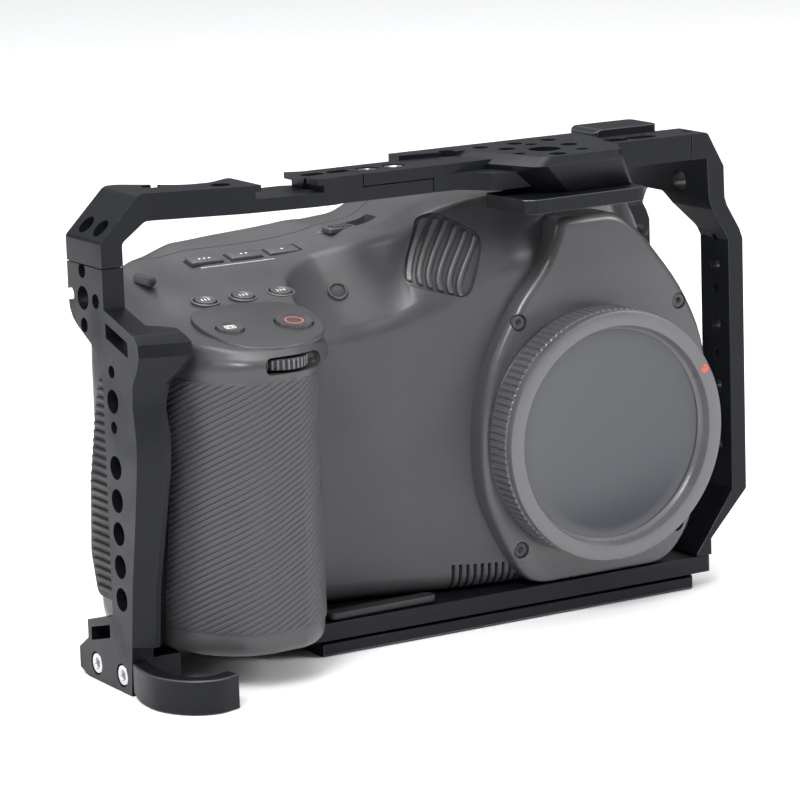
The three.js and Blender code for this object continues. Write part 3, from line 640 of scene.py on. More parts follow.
def body_stations() -> list[Station]:
    """Lists the slices of the camera body from left to right.

    Returns:
        The slices, where the outline turns.
    """
    return [
        Station(-138.5, -40.6, 76.0, -36.0, 82.0, -20.0, 75.0, 15.0),
        Station(-135.8, -42.0, 83.0, -37.0, 90.0, -14.0, 82.0, 11.6),
        Station(-132.4, -55.0, 86.0, -49.0, 93.0, -8.0, 90.0, 10.4),
        Station(-127.6, -65.6, 88.0, -61.0, deck_z(-61.0), -5.0, 95.0, 10.4),
        Station(-119.0, -72.4, 88.8, -69.0, deck_z(-69.0), 4.0, 103.4, 10.4),
        Station(-106.0, -72.8, 88.8, -69.6, deck_z(-69.6), 13.0, 105.4, 10.4),
        Station(-97.0, -66.4, 88.0, -63.0, deck_z(-63.0), 16.0, deck_z(10.0), 10.4),
        Station(-91.0, -54.0, 86.4, -50.0, deck_z(-50.0), 16.0, deck_z(10.0), 10.2),
        Station(-86.0, -41.6, 85.0, -35.4, deck_z(-35.4), 16.0, deck_z(10.0), 9.7),
        Station(-81.0, -33.4, 84.0, -24.0, deck_z(-24.0), 16.0, deck_z(10.0), 9.7),
        Station(-67.0, -35.0, 85.0, -13.0, 103.4, 16.0, 107.8, 9.7),
        Station(-57.0, -37.6, 87.0, -17.0, 105.4, 16.0, 109.0, 9.7),
        Station(-49.0, -39.4, 89.0, -29.0, 109.6, 16.0, 111.6, 9.7),
        Station(-42.0, -41.0, 91.0, -33.0, 114.6, 16.0, 113.6, 9.7),
        Station(-32.0, -43.0, 97.0, -35.0, 117.4, 16.0, 115.0, 9.7),
        Station(-20.0, -44.0, 100.0, -36.0, 118.4, 16.0, 116.0, 9.7),
        Station(14.0, -44.0, 100.0, -36.0, 118.4, 16.0, 116.0, 9.7),
        Station(24.0, -42.0, 92.0, -31.0, 112.6, 16.0, 110.4, 9.7),
        Station(32.0, -38.6, 80.0, -26.0, 101.6, 16.0, 100.4, 12.6),
        Station(38.6, -34.6, 66.0, -20.0, 86.0, 14.0, 86.0, 21.0),
        Station(42.0, -30.4, 54.0, -16.0, 70.0, 10.0, 70.0, 29.0),
    ]


@dataclass
class Shell:
    """The camera body, lofted through its slices and split at the parting line."""

    stations: list[Station] = field(default_factory=body_stations)
    slices: int = 150
    corner: float = 6.0
    parting_y: float = 4.0
    parting_gap: float = 0.3
    flare: float = 3.8
    bulge: float = 0.9
    switch_bed: float = 108.4
    bed_share: float = 0.75
    vents: int = 14
    vent_left: float = -42.0
    vent_pitch: float = 2.1
    vent_width: float = 1.0
    vent_fall: float = 0.12
    sharp: float = 40.0

    def flared(self, spot: Vector) -> Vector:
        """Moves a point of the body where the plain loft misses the real surface.

        The collar over the grip flares to the right and forwards, and the top sinks
        round the power switch.

        Args:
            spot: The point before, in metres.

        Returns:
            The point after.
        """
        x, y, z = (v * 1000 for v in spot)
        high = ramp(z, 83.6, 86.6)
        right = ramp(x, -108.0, -92.0) * (1.0 - ramp(x, -86.0, -80.0))
        right *= 1.0 - ramp(y, -58.0, -42.0)
        ahead = high * (1.0 - ramp(z, 88.6, 90.6)) * (1.0 - ramp(x, -90.0, -84.0))
        ahead *= 1.0 - ramp(y, -62.0, -44.0)
        bed = ramp(x, -62.0, -54.0) * (1.0 - ramp(x, -47.0, -33.0)) * ramp(y, -27.0, -11.0)
        z -= max(0.0, z - self.switch_bed) * self.bed_share * bed
        return at(x + self.flare * high * right, y - self.bulge * ahead, z)

    def at_x(self, x: float) -> list[float]:
        """Returns the slice sizes at a place across the body.

        Args:
            x: The place in millimetres.

        Returns:
            The seven sizes of a slice, smoothly between the given ones.
        """
        s = self.stations
        i = max(k for k in range(len(s) - 1) if s[k].x <= x or k == 0)
        t = min(1.0, max(0.0, (x - s[i].x) / (s[i + 1].x - s[i].x)))
        left, right = s[max(i - 1, 0)], s[min(i + 2, len(s) - 1)]
        wide = s[i + 1].x - s[i].x
        sizes = []
        for p0, p1, p2, p3 in zip(left.values(), s[i].values(), s[i + 1].values(), right.values()):
            before = (p2 - p0) / max(1.0, s[i + 1].x - left.x) * wide
            after = (p3 - p1) / max(1.0, right.x - s[i].x) * wide
            if (p2 - p1) * before <= 0:
                before = 0.0
            if (p2 - p1) * after <= 0:
                after = 0.0
            sizes.append(
                p1 * (2 * t ** 3 - 3 * t ** 2 + 1) + before * (t ** 3 - 2 * t ** 2 + t)
                + p2 * (3 * t ** 2 - 2 * t ** 3) + after * (t ** 3 - t ** 2)
            )
        return sizes

    def outline(self, x: float) -> list[Flat]:
        """Draws the rounded slice at a place across the body.

        Args:
            x: The place in millimetres.

        Returns:
            The slice as (y, z) points.
        """
        front, shoulder, brow_y, brow_z, rear, rear_z, under = self.at_x(x)
        r = self.corner
        return rounded(
            [
                (rear, under, r),
                (front, under, r),
                *[(front, under + (shoulder - under) * k / 12, 0.01) for k in (3, 6, 9, 10, 11)],
                (front, shoulder, r * 0.6),
                (brow_y, brow_z, r * 0.6),
                *[
                    (brow_y + (rear - brow_y) * k, brow_z + (rear_z + 1 - brow_z) * k, 0.01)
                    for k in (j / 16 for j in range(2, 14))
                ],
                (rear, rear_z + 1.0, r * 1.4),
            ],
            6,
        )

    def front_at(self, x: float, z: float) -> float:
        """Returns the depth of the front face at a height.

        Args:
            x: The place across the body.
            z: The height.

        Returns:
            The depth, in millimetres.
        """
        return depth_at(self.outline(x)[9:], z)

    def loft(self) -> bmesh.types.BMesh:
        """Extrudes a slice from one end of the body to the other.

        Returns:
            The closed body.
        """
        mesh = bmesh.new()
        low, high = self.stations[0].x, self.stations[-1].x
        places = [low + (high - low) * k / self.slices for k in range(self.slices + 1)]
        first = self.outline(low)
        ring = [mesh.verts.new(at(low, y, z)) for y, z in first]
        cap = mesh.faces.new(ring)
        edges = list(cap.edges)
        for x in places[1:]:
            made = bmesh.ops.extrude_edge_only(mesh, edges=edges)
            edges = [e for e in made["geom"] if isinstance(e, bmesh.types.BMEdge)]
            verts = [v for v in made["geom"] if isinstance(v, bmesh.types.BMVert)]
            partner = {}
            for v in verts:
                for e in v.link_edges:
                    other = e.other_vert(v)
                    if other in ring:
                        partner[other] = v
            ring = [partner[v] for v in ring]
            for v, (y, z) in zip(ring, self.outline(x)):
                v.co = at(x, y, z)
        mesh.faces.new(ring)
        weld_faces(mesh)
        for v in mesh.verts:
            v.co = self.flared(v.co)
        return mesh

    def half(self, front: bool) -> bmesh.types.BMesh:
        """Returns the part of the body on one side of the parting line.

        Args:
            front: Whether the front part is wanted.

        Returns:
            That part, closed at the cut.
        """
        mesh = self.loft()
        side = -1.0 if front else 1.0
        bmesh.ops.bisect_plane(
            mesh, geom=mesh.verts[:] + mesh.edges[:] + mesh.faces[:],
            plane_co=at(0, self.parting_y + side * self.parting_gap / 2, 0),
            plane_no=(0, -side, 0), clear_outer=True,
        )
        rim = [e for e in mesh.edges if len(e.link_faces) == 1]
        bmesh.ops.edgenet_fill(mesh, edges=rim)
        weld_faces(mesh)
        return mesh

    def build(self, controls: "Controls", grille: "Grille") -> None:
        """Builds both shells and cuts the wells of the controls into the front one.

        Args:
            controls: The controls, which give the wells.
            grille: The microphone grille, which gives its bed.
        """
        front = self._side("front_shell")
        cutters = bmesh.new()
        controls.add_wells(cutters)
        grille.add_bed(cutters, self)
        merge_into(cutters, throat_cutter())
        for k in range(self.vents):
            x = self.vent_left + k * self.vent_pitch
            high = (x + self.vent_width, -37, 17.5 - self.vent_fall * k)
            merge_into(cutters, block((x, -50, 9.0), high))
        carve(front, cutters, self.sharp)
        self._side("rear_shell")

    def _side(self, node: str) -> bpy.types.Object:
        """Builds the shell on one side of the parting line.

        Args:
            node: The shell's node.

        Returns:
            The shell, with nothing cut out yet.
        """
        mesh = self.half(node == "front_shell")
        return finish_piece(node + "_body", mesh, (SHELL,), sharp=self.sharp, replaced=(node,))


@dataclass
class Housing:
    """The raised block round the lens mount, with its four screws."""

    outline: tuple[tuple[float, float, float], ...] = (
        (-21, 9.8, 6), (25, 9.8, 6), (32.4, 18, 5), (39, 36, 8), (40.2, 56, 10), (39, 73, 8),
        (31.6, 88.6, 8), (18.4, 105, 6), (10, 111.6, 4), (-8.6, 111.6, 3), (-9.8, 107, 3),
        (-14.4, 98.4, 4), (-23, 89.2, 6), (-31.4, 74.6, 8), (-35.2, 62, 8), (-36, 47.4, 8),
        (-34.8, 35.7, 8), (-28, 20.3, 6),
    )
    front: float = -49.0
    back: float = -34.0
    round_off: float = 2.6
    screw_well: float = 2.35
    screw_edge: float = 0.2
    sharp: float = 35.0
    screws: tuple[str, ...] = tuple(f"housing_screw_{i}" for i in range(1, 5))

    def build(self) -> None:
        """Builds the block with its throat and the four screws."""
        mesh = slab(rounded(self.outline, 4), Axis.Y, self.front, self.back)
        rim = [
            e for e in mesh.edges
            if all(abs(v.co.y - mm(self.front)) < 1e-7 for v in e.verts)
        ]
        bmesh.ops.bevel(
            mesh, geom=rim, offset=mm(self.round_off), offset_type="OFFSET", segments=4,
            profile=0.5, affect="EDGES", clamp_overlap=True, material=-1,
        )
        piece = finish_piece("lens_housing", mesh, (SHELL_SMOOTH,), sharp=self.sharp)
        cutters = throat_cutter()
        well = [(0, 0), (self.screw_well, 0), (self.screw_well, 10), (0, 10)]
        for node in self.screws:
            low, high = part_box(node)
            x, z = (low[0] + high[0]) * 500, (low[2] + high[2]) * 500
            merge_into(cutters, lathe(well, at(x, -57.4, z), BACKWARDS, 24))
            dress(node, node + "_head", DARK, self.screw_edge, 26.0)
        carve(piece, cutters, self.sharp)


@dataclass
class Grille:
    """The ribbed microphone grille beside the hump."""

    outline: tuple[tuple[float, float, float], ...] = (
        (-44.8, 113.0, 2), (-40, 115.2, 3), (-29.0, 108.6, 3), (-29.2, 104.8, 3),
        (-35.0, 91.4, 3), (-50.4, 95.8, 3), (-50.0, 99.6, 3),
    )
    depth: float = 1.3
    ribs: int = 6
    rib_width: float = 1.15
    first: tuple[Flat, ...] = ((-42.2, 113.2), (-45.4, 108.2), (-48.2, 101.4), (-49.0, 97.0))
    third: tuple[Flat, ...] = ((-37.0, 112.6), (-41.0, 106.1), (-44.0, 100.0), (-44.6, 95.2))
    last: tuple[Flat, ...] = ((-30.4, 108.0), (-32.6, 104.0), (-36.4, 97.7), (-37.0, 92.4))

    def add_bed(self, cutters: bmesh.types.BMesh, shell: Shell) -> None:
        """Adds the grille's recess to the shapes that are cut out.

        Args:
            cutters: The shapes that are cut out of the front shell.
            shell: The body, for the depth of its surface.
        """
        mesh = slab(rounded(self.outline, 3), Axis.Y, -60.0, -30.0)
        far = [f for f in mesh.faces if f.normal.y > 0.9]
        cuts = bmesh.ops.triangulate(mesh, faces=far)
        bmesh.ops.subdivide_edges(mesh, edges=cuts["edges"], cuts=3, use_grid_fill=True)
        for v in mesh.verts:
            if v.co.y > mm(-50):
                v.co.y = mm(shell.front_at(v.co.x * 1000, v.co.z * 1000) + self.depth)
        bmesh.ops.triangulate(mesh, faces=mesh.faces)
        merge_into(cutters, mesh)

    def build(self, shell: Shell) -> None:
        """Builds the ribs, each one along the surface of the body.

        Args:
            shell: The body, for the depth of its surface.
        """
        ribs = bmesh.new()
        for k in range(self.ribs):
            a, b, t = self.first, self.third, k / 2
            if k >= 2:
                a, b, t = self.third, self.last, (k - 2) / (self.ribs - 3)
            line = [
                (p[0] + (q[0] - p[0]) * t, p[1] + (q[1] - p[1]) * t) for p, q in zip(a, b)
            ]
            rib = bmesh.new()
            bmesh.ops.create_grid(rib, x_segments=2, y_segments=14, size=0.5)
            for v in rib.verts:
                x, z = self._along(line, v.co.y + 0.5)
                x += v.co.x * self.rib_width
                v.co = at(x, shell.front_at(x, z) - 0.1, z)
            made = bmesh.ops.extrude_face_region(rib, geom=rib.faces[:])
            back = [v for v in made["geom"] if isinstance(v, bmesh.types.BMVert)]
            bmesh.ops.translate(rib, vec=at(0, self.depth, 0), verts=back)
            bmesh.ops.recalc_face_normals(rib, faces=rib.faces)
            soften(rib, 0.3, 60.0, 2)
            merge_into(ribs, rib)
        finish_piece("mic_grille_ribs", ribs, (SHELL_SMOOTH,), replaced=("mic_grille",))

    @staticmethod
    def _along(line: Sequence[Flat], t: float) -> Flat:
        """Finds a point on the smooth line through four points.

        Args:
            line: The four points, a third of the way apart.
            t: The share of the way, from 0 to 1.

        Returns:
            The point.
        """
        weights = (
            (1 - 3 * t) * (2 - 3 * t) * (1 - t) / 2, 9 * t * (2 - 3 * t) * (1 - t) / 2,
            9 * t * (3 * t - 1) * (1 - t) / 2, t * (3 * t - 1) * (3 * t - 2) / 2,
        )
        return tuple(sum(w * p[i] for w, p in zip(weights, line)) for i in (0, 1))


@dataclass
class GripRubber:
    """The rubber round the grip, with fine grooves that rise to the right."""

    left: float = -134.4
    right: float = -84.8
    low: float = 16.8
    high: float = 83.8
    pitch: float = 1.62
    rise: float = 0.5
    lift: float = 0.5
    groove: float = 0.3
    along: int = 84
    per_groove: tuple[float, ...] = (0.0, 0.14, 0.28, 0.9)

    def build(self, shell: Shell) -> None:
        """Builds the grooved rubber over the body's surface.

        Args:
            shell: The body that it covers.
        """
        wide = self.right - self.left
        places = [self.left + wide * k / self.along for k in range(self.along + 1)]
        length = [0.0]
        for a, b in zip(places, places[1:]):
            step = shell.front_at(b, 50.0) - shell.front_at(a, 50.0)
            length.append(length[-1] + math.hypot(b - a, step))
        climb = length[-1] * self.rise
        count = int((self.high - self.low + climb) / self.pitch) + 1
        rows = [(k + part) * self.pitch for k in range(count) for part in self.per_groove]
        mesh = bmesh.new()
        bmesh.ops.create_grid(
            mesh, x_segments=self.along, y_segments=len(rows) - 1, size=0.5
        )
        for v in mesh.verts:
            i = round((v.co.x + 0.5) * self.along)
            j = round((v.co.y + 0.5) * (len(rows) - 1))
            z = self.low - climb + rows[j] + length[i] * self.rise
            kept = min(self.high, max(self.low, z))
            sunk = j % len(self.per_groove) == 1 and kept == z
            lift = self.lift - (self.groove if sunk else 0.0)
            edge = min(kept - self.low, self.high - kept)
            lift = min(lift, 0.1 + edge * 0.5)
            x = places[i]
            y = shell.front_at(x, kept)
            slope = (shell.front_at(x + 0.4, kept) - shell.front_at(x - 0.4, kept)) / 0.8
            out = Vector((slope, -1.0)).normalized() * lift
            v.co = at(x + out.x, y + out.y, kept)
        bmesh.ops.remove_doubles(mesh, verts=mesh.verts, dist=1e-6)
        bmesh.ops.dissolve_degenerate(mesh, edges=mesh.edges, dist=1e-6)
        bmesh.ops.recalc_face_normals(mesh, faces=mesh.faces)
        if sum(f.normal.y for f in mesh.faces) > 0:
            bmesh.ops.reverse_faces(mesh, faces=mesh.faces)
        finish_piece("grip_rubber_skin", mesh, (RUBBER,), replaced=("grip_rubber",), sharp=60.0)


# ---------------------------------------------------------------- controls


@dataclass
class Knob:
    """One round button on the sloping deck."""

    node: str
    x: float
    y: float
    radius: float
    proud: float
    dish: float = 0.5


@dataclass
class Controls:
    """The buttons, keys, power switch and wheel of the top deck."""

    slope: float = 0.2
    gap: float = 0.3
    knobs: tuple[Knob, ...] = (
        Knob("record_button", -97.0, -55.5, 5.0, 1.2, 0.6),
        Knob("stills_button", -115.4, -54.4, 3.6, 1.1, 0.4),
        Knob("iso_button", -111.2, -33.4, 2.9, 0.6, 0.3),
        Knob("shutter_button", -99.8, -33.4, 2.9, 0.6, 0.3),
        Knob("balance_button", -88.4, -33.4, 2.9, 0.6, 0.3),
    )
    keys: tuple[tuple[str, float, int], ...] = (
        ("function_key_1", -96.4, 3), ("function_key_2", -84.2, 2), ("function_key_3", -72.2, 1),
    )
    key_y: float = -5.5
    key_size: tuple[float, float] = (9.6, 5.0)
    switch: tuple[float, float, float] = (-53.0, -4.6, 108.2)
    wheel: tuple[float, float, float, float] = (-108.0, -65.4, 87.2, 8.0)
    teeth: int = 34
    plateau_rise: float = 0.35
    plateau: tuple[tuple[float, float, float], ...] = (
        (-123.0, -52.0, 8), (-121.0, -41.5, 6), (-113.0, -38.0, 6), (-99.0, -38.6, 6),
        (-89.0, -43.0, 6), (-88.0, -53.0, 6), (-92.0, -64.4, 6), (-102.0, -69.4, 8),
        (-112.0, -70.6, 8), (-120.0, -66.0, 8),
    )

    @property
    def up(self) -> Vector:
        """Returns the direction square to the deck."""
        return Vector((0.0, -self.slope, 1.0)).normalized()

    def on_deck(self, x: float, y: float, lift: float) -> Vector:
        """Returns a point at a height above the deck, in metres."""
        return at(x, y, deck_z(y)) + self.up * mm(lift)

    def deck_block(
        self, x: float, y: float, size: tuple[float, float], low: float, high: float, bevel: float
    ) -> bmesh.types.BMesh:
        """Makes a block square to the deck.

        Args:
            x: Its centre across the deck.
            y: Its centre along the deck.
            size: Its width and depth.
            low: Its underside above the deck.
            high: Its top above the deck.
            bevel: The width of its rounded edges.

        Returns:
            The mesh.
        """
        mesh = block((-size[0] / 2, -size[1] / 2, low), (size[0] / 2, size[1] / 2, high), bevel, 3)
        turn = self.up.rotation_difference(Vector((0, 0, 1))).inverted().to_matrix().to_4x4()
        place = Matrix.Translation(at(x, y, deck_z(y))) @ turn
        bmesh.ops.transform(mesh, matrix=place, verts=mesh.verts)
        return mesh

    def spun(self, knob: Knob, profile: Sequence[Flat], steps: int) -> bmesh.types.BMesh:
        """Spins a profile about the axis of a button.

        Args:
            knob: The button.
            profile: The points as (radius, height above the deck).
            steps: The steps of the spin.

        Returns:
            The mesh.
        """
        return lathe(profile, self.on_deck(knob.x, knob.y, 0), self.up, steps)

    def add_round_wells(self, cutters: bmesh.types.BMesh, knobs: Iterable[Knob]) -> None:
        """Adds the wells of round buttons to the shapes that are cut out.

        Args:
            cutters: The shapes that are cut out.
            knobs: The buttons.
        """
        for knob in knobs:
            r = knob.radius + self.gap
            merge_into(cutters, self.spun(knob, [(0, -4.0), (r, -4.0), (r, 6.0), (0, 6.0)], 40))

    def add_wells(self, cutters: bmesh.types.BMesh) -> None:
        """Adds the wells of the controls to the shapes that are cut out.

        Args:
            cutters: The shapes that are cut out of the front shell.
        """
        self.add_round_wells(cutters, self.knobs)
        wide, deep = (size + 2 * self.gap for size in self.key_size)
        for _, x, _ in self.keys:
            well = self.deck_block(x, self.key_y, (wide, deep), -3.4, 6.0, 0.0)
            merge_into(cutters, well)
        x, y, z = self.switch
        merge_into(cutters, block((x - 6, y - 3, z - 1.3), (x + 10.2, y + 3, z + 9), 0.8, 3))
        x, y, z, _ = self.wheel
        merge_into(cutters, block((x - 7.8, -80, z - 2.2), (x + 10.4, y - 2, z + 2.2), 1.9, 4))

    def _plateau(self) -> None:
        """Builds the raised field round the record and stills buttons."""
        mesh = slab(rounded(self.plateau, 5), Axis.Z, -1.0, self.plateau_rise)
        for v in mesh.verts:
            v.co.z += mm(deck_z(v.co.y * 1000))
        rim = [
            e for e in mesh.edges
            if e.calc_face_angle(0.0) > 0.8
            and all(v.co.z > mm(deck_z(v.co.y * 1000)) for v in e.verts)
        ]
        bmesh.ops.bevel(
            mesh, geom=rim, offset=mm(0.5), offset_type="OFFSET", segments=3, profile=0.5,
            affect="EDGES", clamp_overlap=True, material=-1,
        )
        piece = finish_piece("deck_field", mesh, (SHELL,), sharp=50.0)
        wells = bmesh.new()
        self.add_round_wells(wells, self.knobs[:2])
        carve(piece, wells, 50.0)

    def build(self) -> None:
        """Builds every control."""
        self._plateau()
        bracket = self.deck_block(-83.4, -10.4, (33.0, 0.26), -0.4, 0.06, 0.0)
        finish_piece("key_bracket", bracket, (PRINT,))
        for knob in self.knobs:
            self._knob(knob)
        for node, x, dots in self.keys:
            self._key(node, x, dots)
        self._switch()
        self._wheel()

    def _knob(self, knob: Knob) -> None:
        """Builds one dished button with its mark and its collar.

        Args:
            knob: The button.
        """
        r, top, dish = knob.radius, knob.proud, knob.dish
        profile = [
            (0, -2.4), (r, -2.4), (r, top - 0.35), (r - 0.12, top - 0.1), (r - 0.4, top),
            (r - 0.9, top - 0.05), (r * 0.6, top - dish * 0.7), (r * 0.3, top - dish * 0.95),
            (0, top - dish),
        ]
        mesh = self.spun(knob, profile, 48)
        paint = PRINT
        if knob.node == "record_button":
            self._ring(mesh, knob, 2.35, 0.42, top - dish * 0.72)
            paint = RECORD_PRINT
        elif knob.node == "stills_button":
            self._ring(mesh, knob, 0.75, 0.28, top - dish * 0.9)
            self._frame_mark(mesh, knob, top - dish * 0.72 + 0.1)
        else:
            for k in range(3):
                bar = self.deck_block(
                    knob.x + (k - 1) * 1.0, knob.y, (0.32, 1.3), 0.0, top - dish * 0.55, 0.0
                )
                merge_into(mesh, bar, 1)
        finish_piece(knob.node + "_cap", mesh, (BUTTON, paint), knob.node, 40.0, (knob.node,))
        near, far = r + self.gap, r + 1.0
        collar = [
            (near, -1.0), (far, -1.0), (far, 0.14), (r + 0.55, 0.26), (near, 0.1), (near, -1.0),
        ]
        finish_piece(knob.node + "_collar", self.spun(knob, collar, 48), (SHELL_SMOOTH,))

    def _frame_mark(self, mesh: bmesh.types.BMesh, knob: Knob, level: float) -> None:
        """Adds a printed frame of four bars to a button.

        Args:
            mesh: The button's mesh.
            knob: The button.
            level: The height of the bars' top above the deck.
        """
        low, high = (-1.5, -1.0), (1.5, 1.0)
        for (x0, y0), (x1, y1) in (
            (low, (1.5, -0.75)), ((-1.5, 0.75), high), (low, (-1.22, 1.0)), ((1.22, -1.0), high),
        ):
            bar = self.deck_block(
                knob.x + (x0 + x1) / 2, knob.y + (y0 + y1) / 2, (x1 - x0, y1 - y0), 0.0, level, 0.0
            )
            merge_into(mesh, bar, 1)

    def _ring(
        self, mesh: bmesh.types.BMesh, knob: Knob, radius: float, width: float, level: float
    ) -> None:
        """Adds a printed ring to a button.

        Args:
            mesh: The button's mesh.
            knob: The button.
            radius: The ring's radius.
            width: Its width.
            level: Its height above the deck.
        """
        near, far, low, high = radius - width / 2, radius + width / 2, level - 0.3, level + 0.1
        profile = [(near, low), (far, low), (far, high), (near, high)]
        merge_into(mesh, self.spun(knob, profile, 40), 1)

    def _key(self, node: str, x: float, dots: int) -> None:
        """Builds one function key with its dots.

        Args:
            node: The key's node.
            x: Its centre across the deck.
            dots: How many dots it carries.
        """
        mesh = self.deck_block(x, self.key_y, self.key_size, -2.0, 0.7, 0.5)
        profile = [(0, -0.1), (0.36, -0.1), (0.36, 0.05), (0, 0.05)]
        for k in range(dots):
            place = self.on_deck(x + (k - (dots - 1) / 2) * 1.5, self.key_y, 0.7)
            merge_into(mesh, lathe(profile, place, self.up, 12), 1)
        finish_piece(node + "_cap", mesh, (BUTTON, PRINT), node, 40.0, (node,))

    def _switch(self) -> None:
        """Builds the ridged power switch."""
        x, y, z = self.switch
        mesh = block((x - 4.6, y - 2.4, z - 1.1), (x + 4.6, y + 2.4, z + 0.6), 0.5, 3)
        for k in range(5):
            place = x - 2.4 + k * 1.2
            low, high = (place - 0.3, y - 2.0, z + 0.3), (place + 0.3, y + 2.0, z + 1.0)
            merge_into(mesh, block(low, high, 0.2, 2))
        finish_piece("power_switch_cap", mesh, (BUTTON,), "power_switch", 40.0, ("power_switch",))

    def _wheel(self) -> None:
        """Builds the toothed control wheel."""
        x, y, z, r = self.wheel
        rim = [
            (0, -1.5), (r - 0.5, -1.5), (r - 0.35, -1.3), (r - 0.35, 1.3), (r - 0.5, 1.5), (0, 1.5),
        ]
        mesh = lathe(rim, at(x, y, z), Vector((0, 0, 1)), 60)
        for k in range(self.teeth):
            tooth = block((r - 0.6, -0.3, -1.3), (r, 0.3, 1.3), 0.12, 1)
            turn = Matrix.Rotation(math.tau * k / self.teeth, 4, "Z")
            spin = Matrix.Translation(at(x, y, z)) @ turn
            bmesh.ops.transform(tooth, matrix=spin, verts=tooth.verts)
            merge_into(mesh, tooth, 1)
        node = "control_wheel"
        finish_piece(node + "_rim", mesh, (BLACK_RUBBER, CAP), node, 40.0, (node,))


# ---------------------------------------------------------------- lens cap and mount


@dataclass
class BodyCap:
    """The cap over the lens mount: knurled skirt, raised rim and sunken face."""

    radius: float = 35.0
    front: float = -62.0
    tail: float = 26.4
    recess: float = 30.4
    recess_depth: float = 3.6
    knurls: int = 110
    knurl_depth: float = 0.45
    dot_x: float = 29.2
    dot_z: float = 66.9

    def build(self) -> None:
        """Builds the cap's rim, its face and the mount ring behind it."""
        middle = at(0, self.front, LENS_Z)
        mesh = lathe(self._rim_profile(), middle, BACKWARDS, self.knurls * 4)
        self._knurl(mesh)
        finish_piece("body_cap_rim", mesh, (CAP,), "body_cap", 35.0, ("body_cap",))
        deep, near = self.recess_depth, self.recess - 1.25
        profile = [
            (0, deep + 2.4), (8, deep + 2.3), (15, deep + 1.9), (21, deep + 1.2), (26, deep + 0.4),
            (28.2, deep), (near, deep), (near, 7.8), (0, 7.8),
        ]
        face = lathe(profile, middle, BACKWARDS, 96)
        finish_piece("body_cap_face", face, (CAP_FACE,), "body_cap", 35.0, ("body_cap",))
        dress("mount_ring", "mount_ring_body", STEEL, 0.25, 26.0, 1)
        profile = [(0, -0.3), (1.15, -0.3), (1.15, 0.05), (0.7, 0.22), (0, 0.28)]
        dot = lathe(profile, at(self.dot_x, self.front, self.dot_z), -BACKWARDS, 24)
        finish_piece("index_dot", dot, (RED,), "body_cap")

    def _rim_profile(self) -> list[Flat]:
        """Draws the cap's skirt and rim from the recess round to the back.

        Returns:
            The points as (radius, depth behind the cap's front).
        """
        r, near, tail, deep = self.radius, self.recess, self.tail, self.recess_depth
        return [
            (near - 1.2, deep), (near - 0.5, deep - 0.5), (near, deep - 1.2), (near + 0.1, 0.5),
            (near + 0.3, 0.1), (near + 0.6, 0.0), (r - 0.9, 0.0), (r - 0.3, 0.2), (r - 0.1, 0.6),
            (r - 0.15, 2.2), (r - 0.5, 2.5), (r - 0.5, 3.0), (r, 3.3), (r, 10.4), (r - 0.4, 10.9),
            (r - 0.4, 11.1), (tail, 11.1), (tail, 16.1), (tail - 2.5, 16.1), (tail - 2.5, 8.0),
            (near - 1.2, 8.0), (near - 1.2, deep),
        ]

    def _knurl(self, mesh: bmesh.types.BMesh) -> None:
        """Sinks the grooves of the grip into the skirt.

        Args:
            mesh: The cap's rim, with four steps to a groove.
        """
        for v in mesh.verts:
            out = Vector((v.co.x, 0.0, v.co.z - mm(LENS_Z)))
            depth = (v.co.y - mm(self.front)) * 1000
            if not 3.2 < depth < 10.5 or out.length <= mm(self.radius - 0.1):
                continue
            turn = math.atan2(out.z, out.x) / math.tau * self.knurls
            if abs((turn % 1.0) - 0.5) * 2.0 > 0.55:
                out.length -= mm(self.knurl_depth)
                v.co.x, v.co.z = out.x, mm(LENS_Z) + out.z


# ---------------------------------------------------------------- ends, doors and back


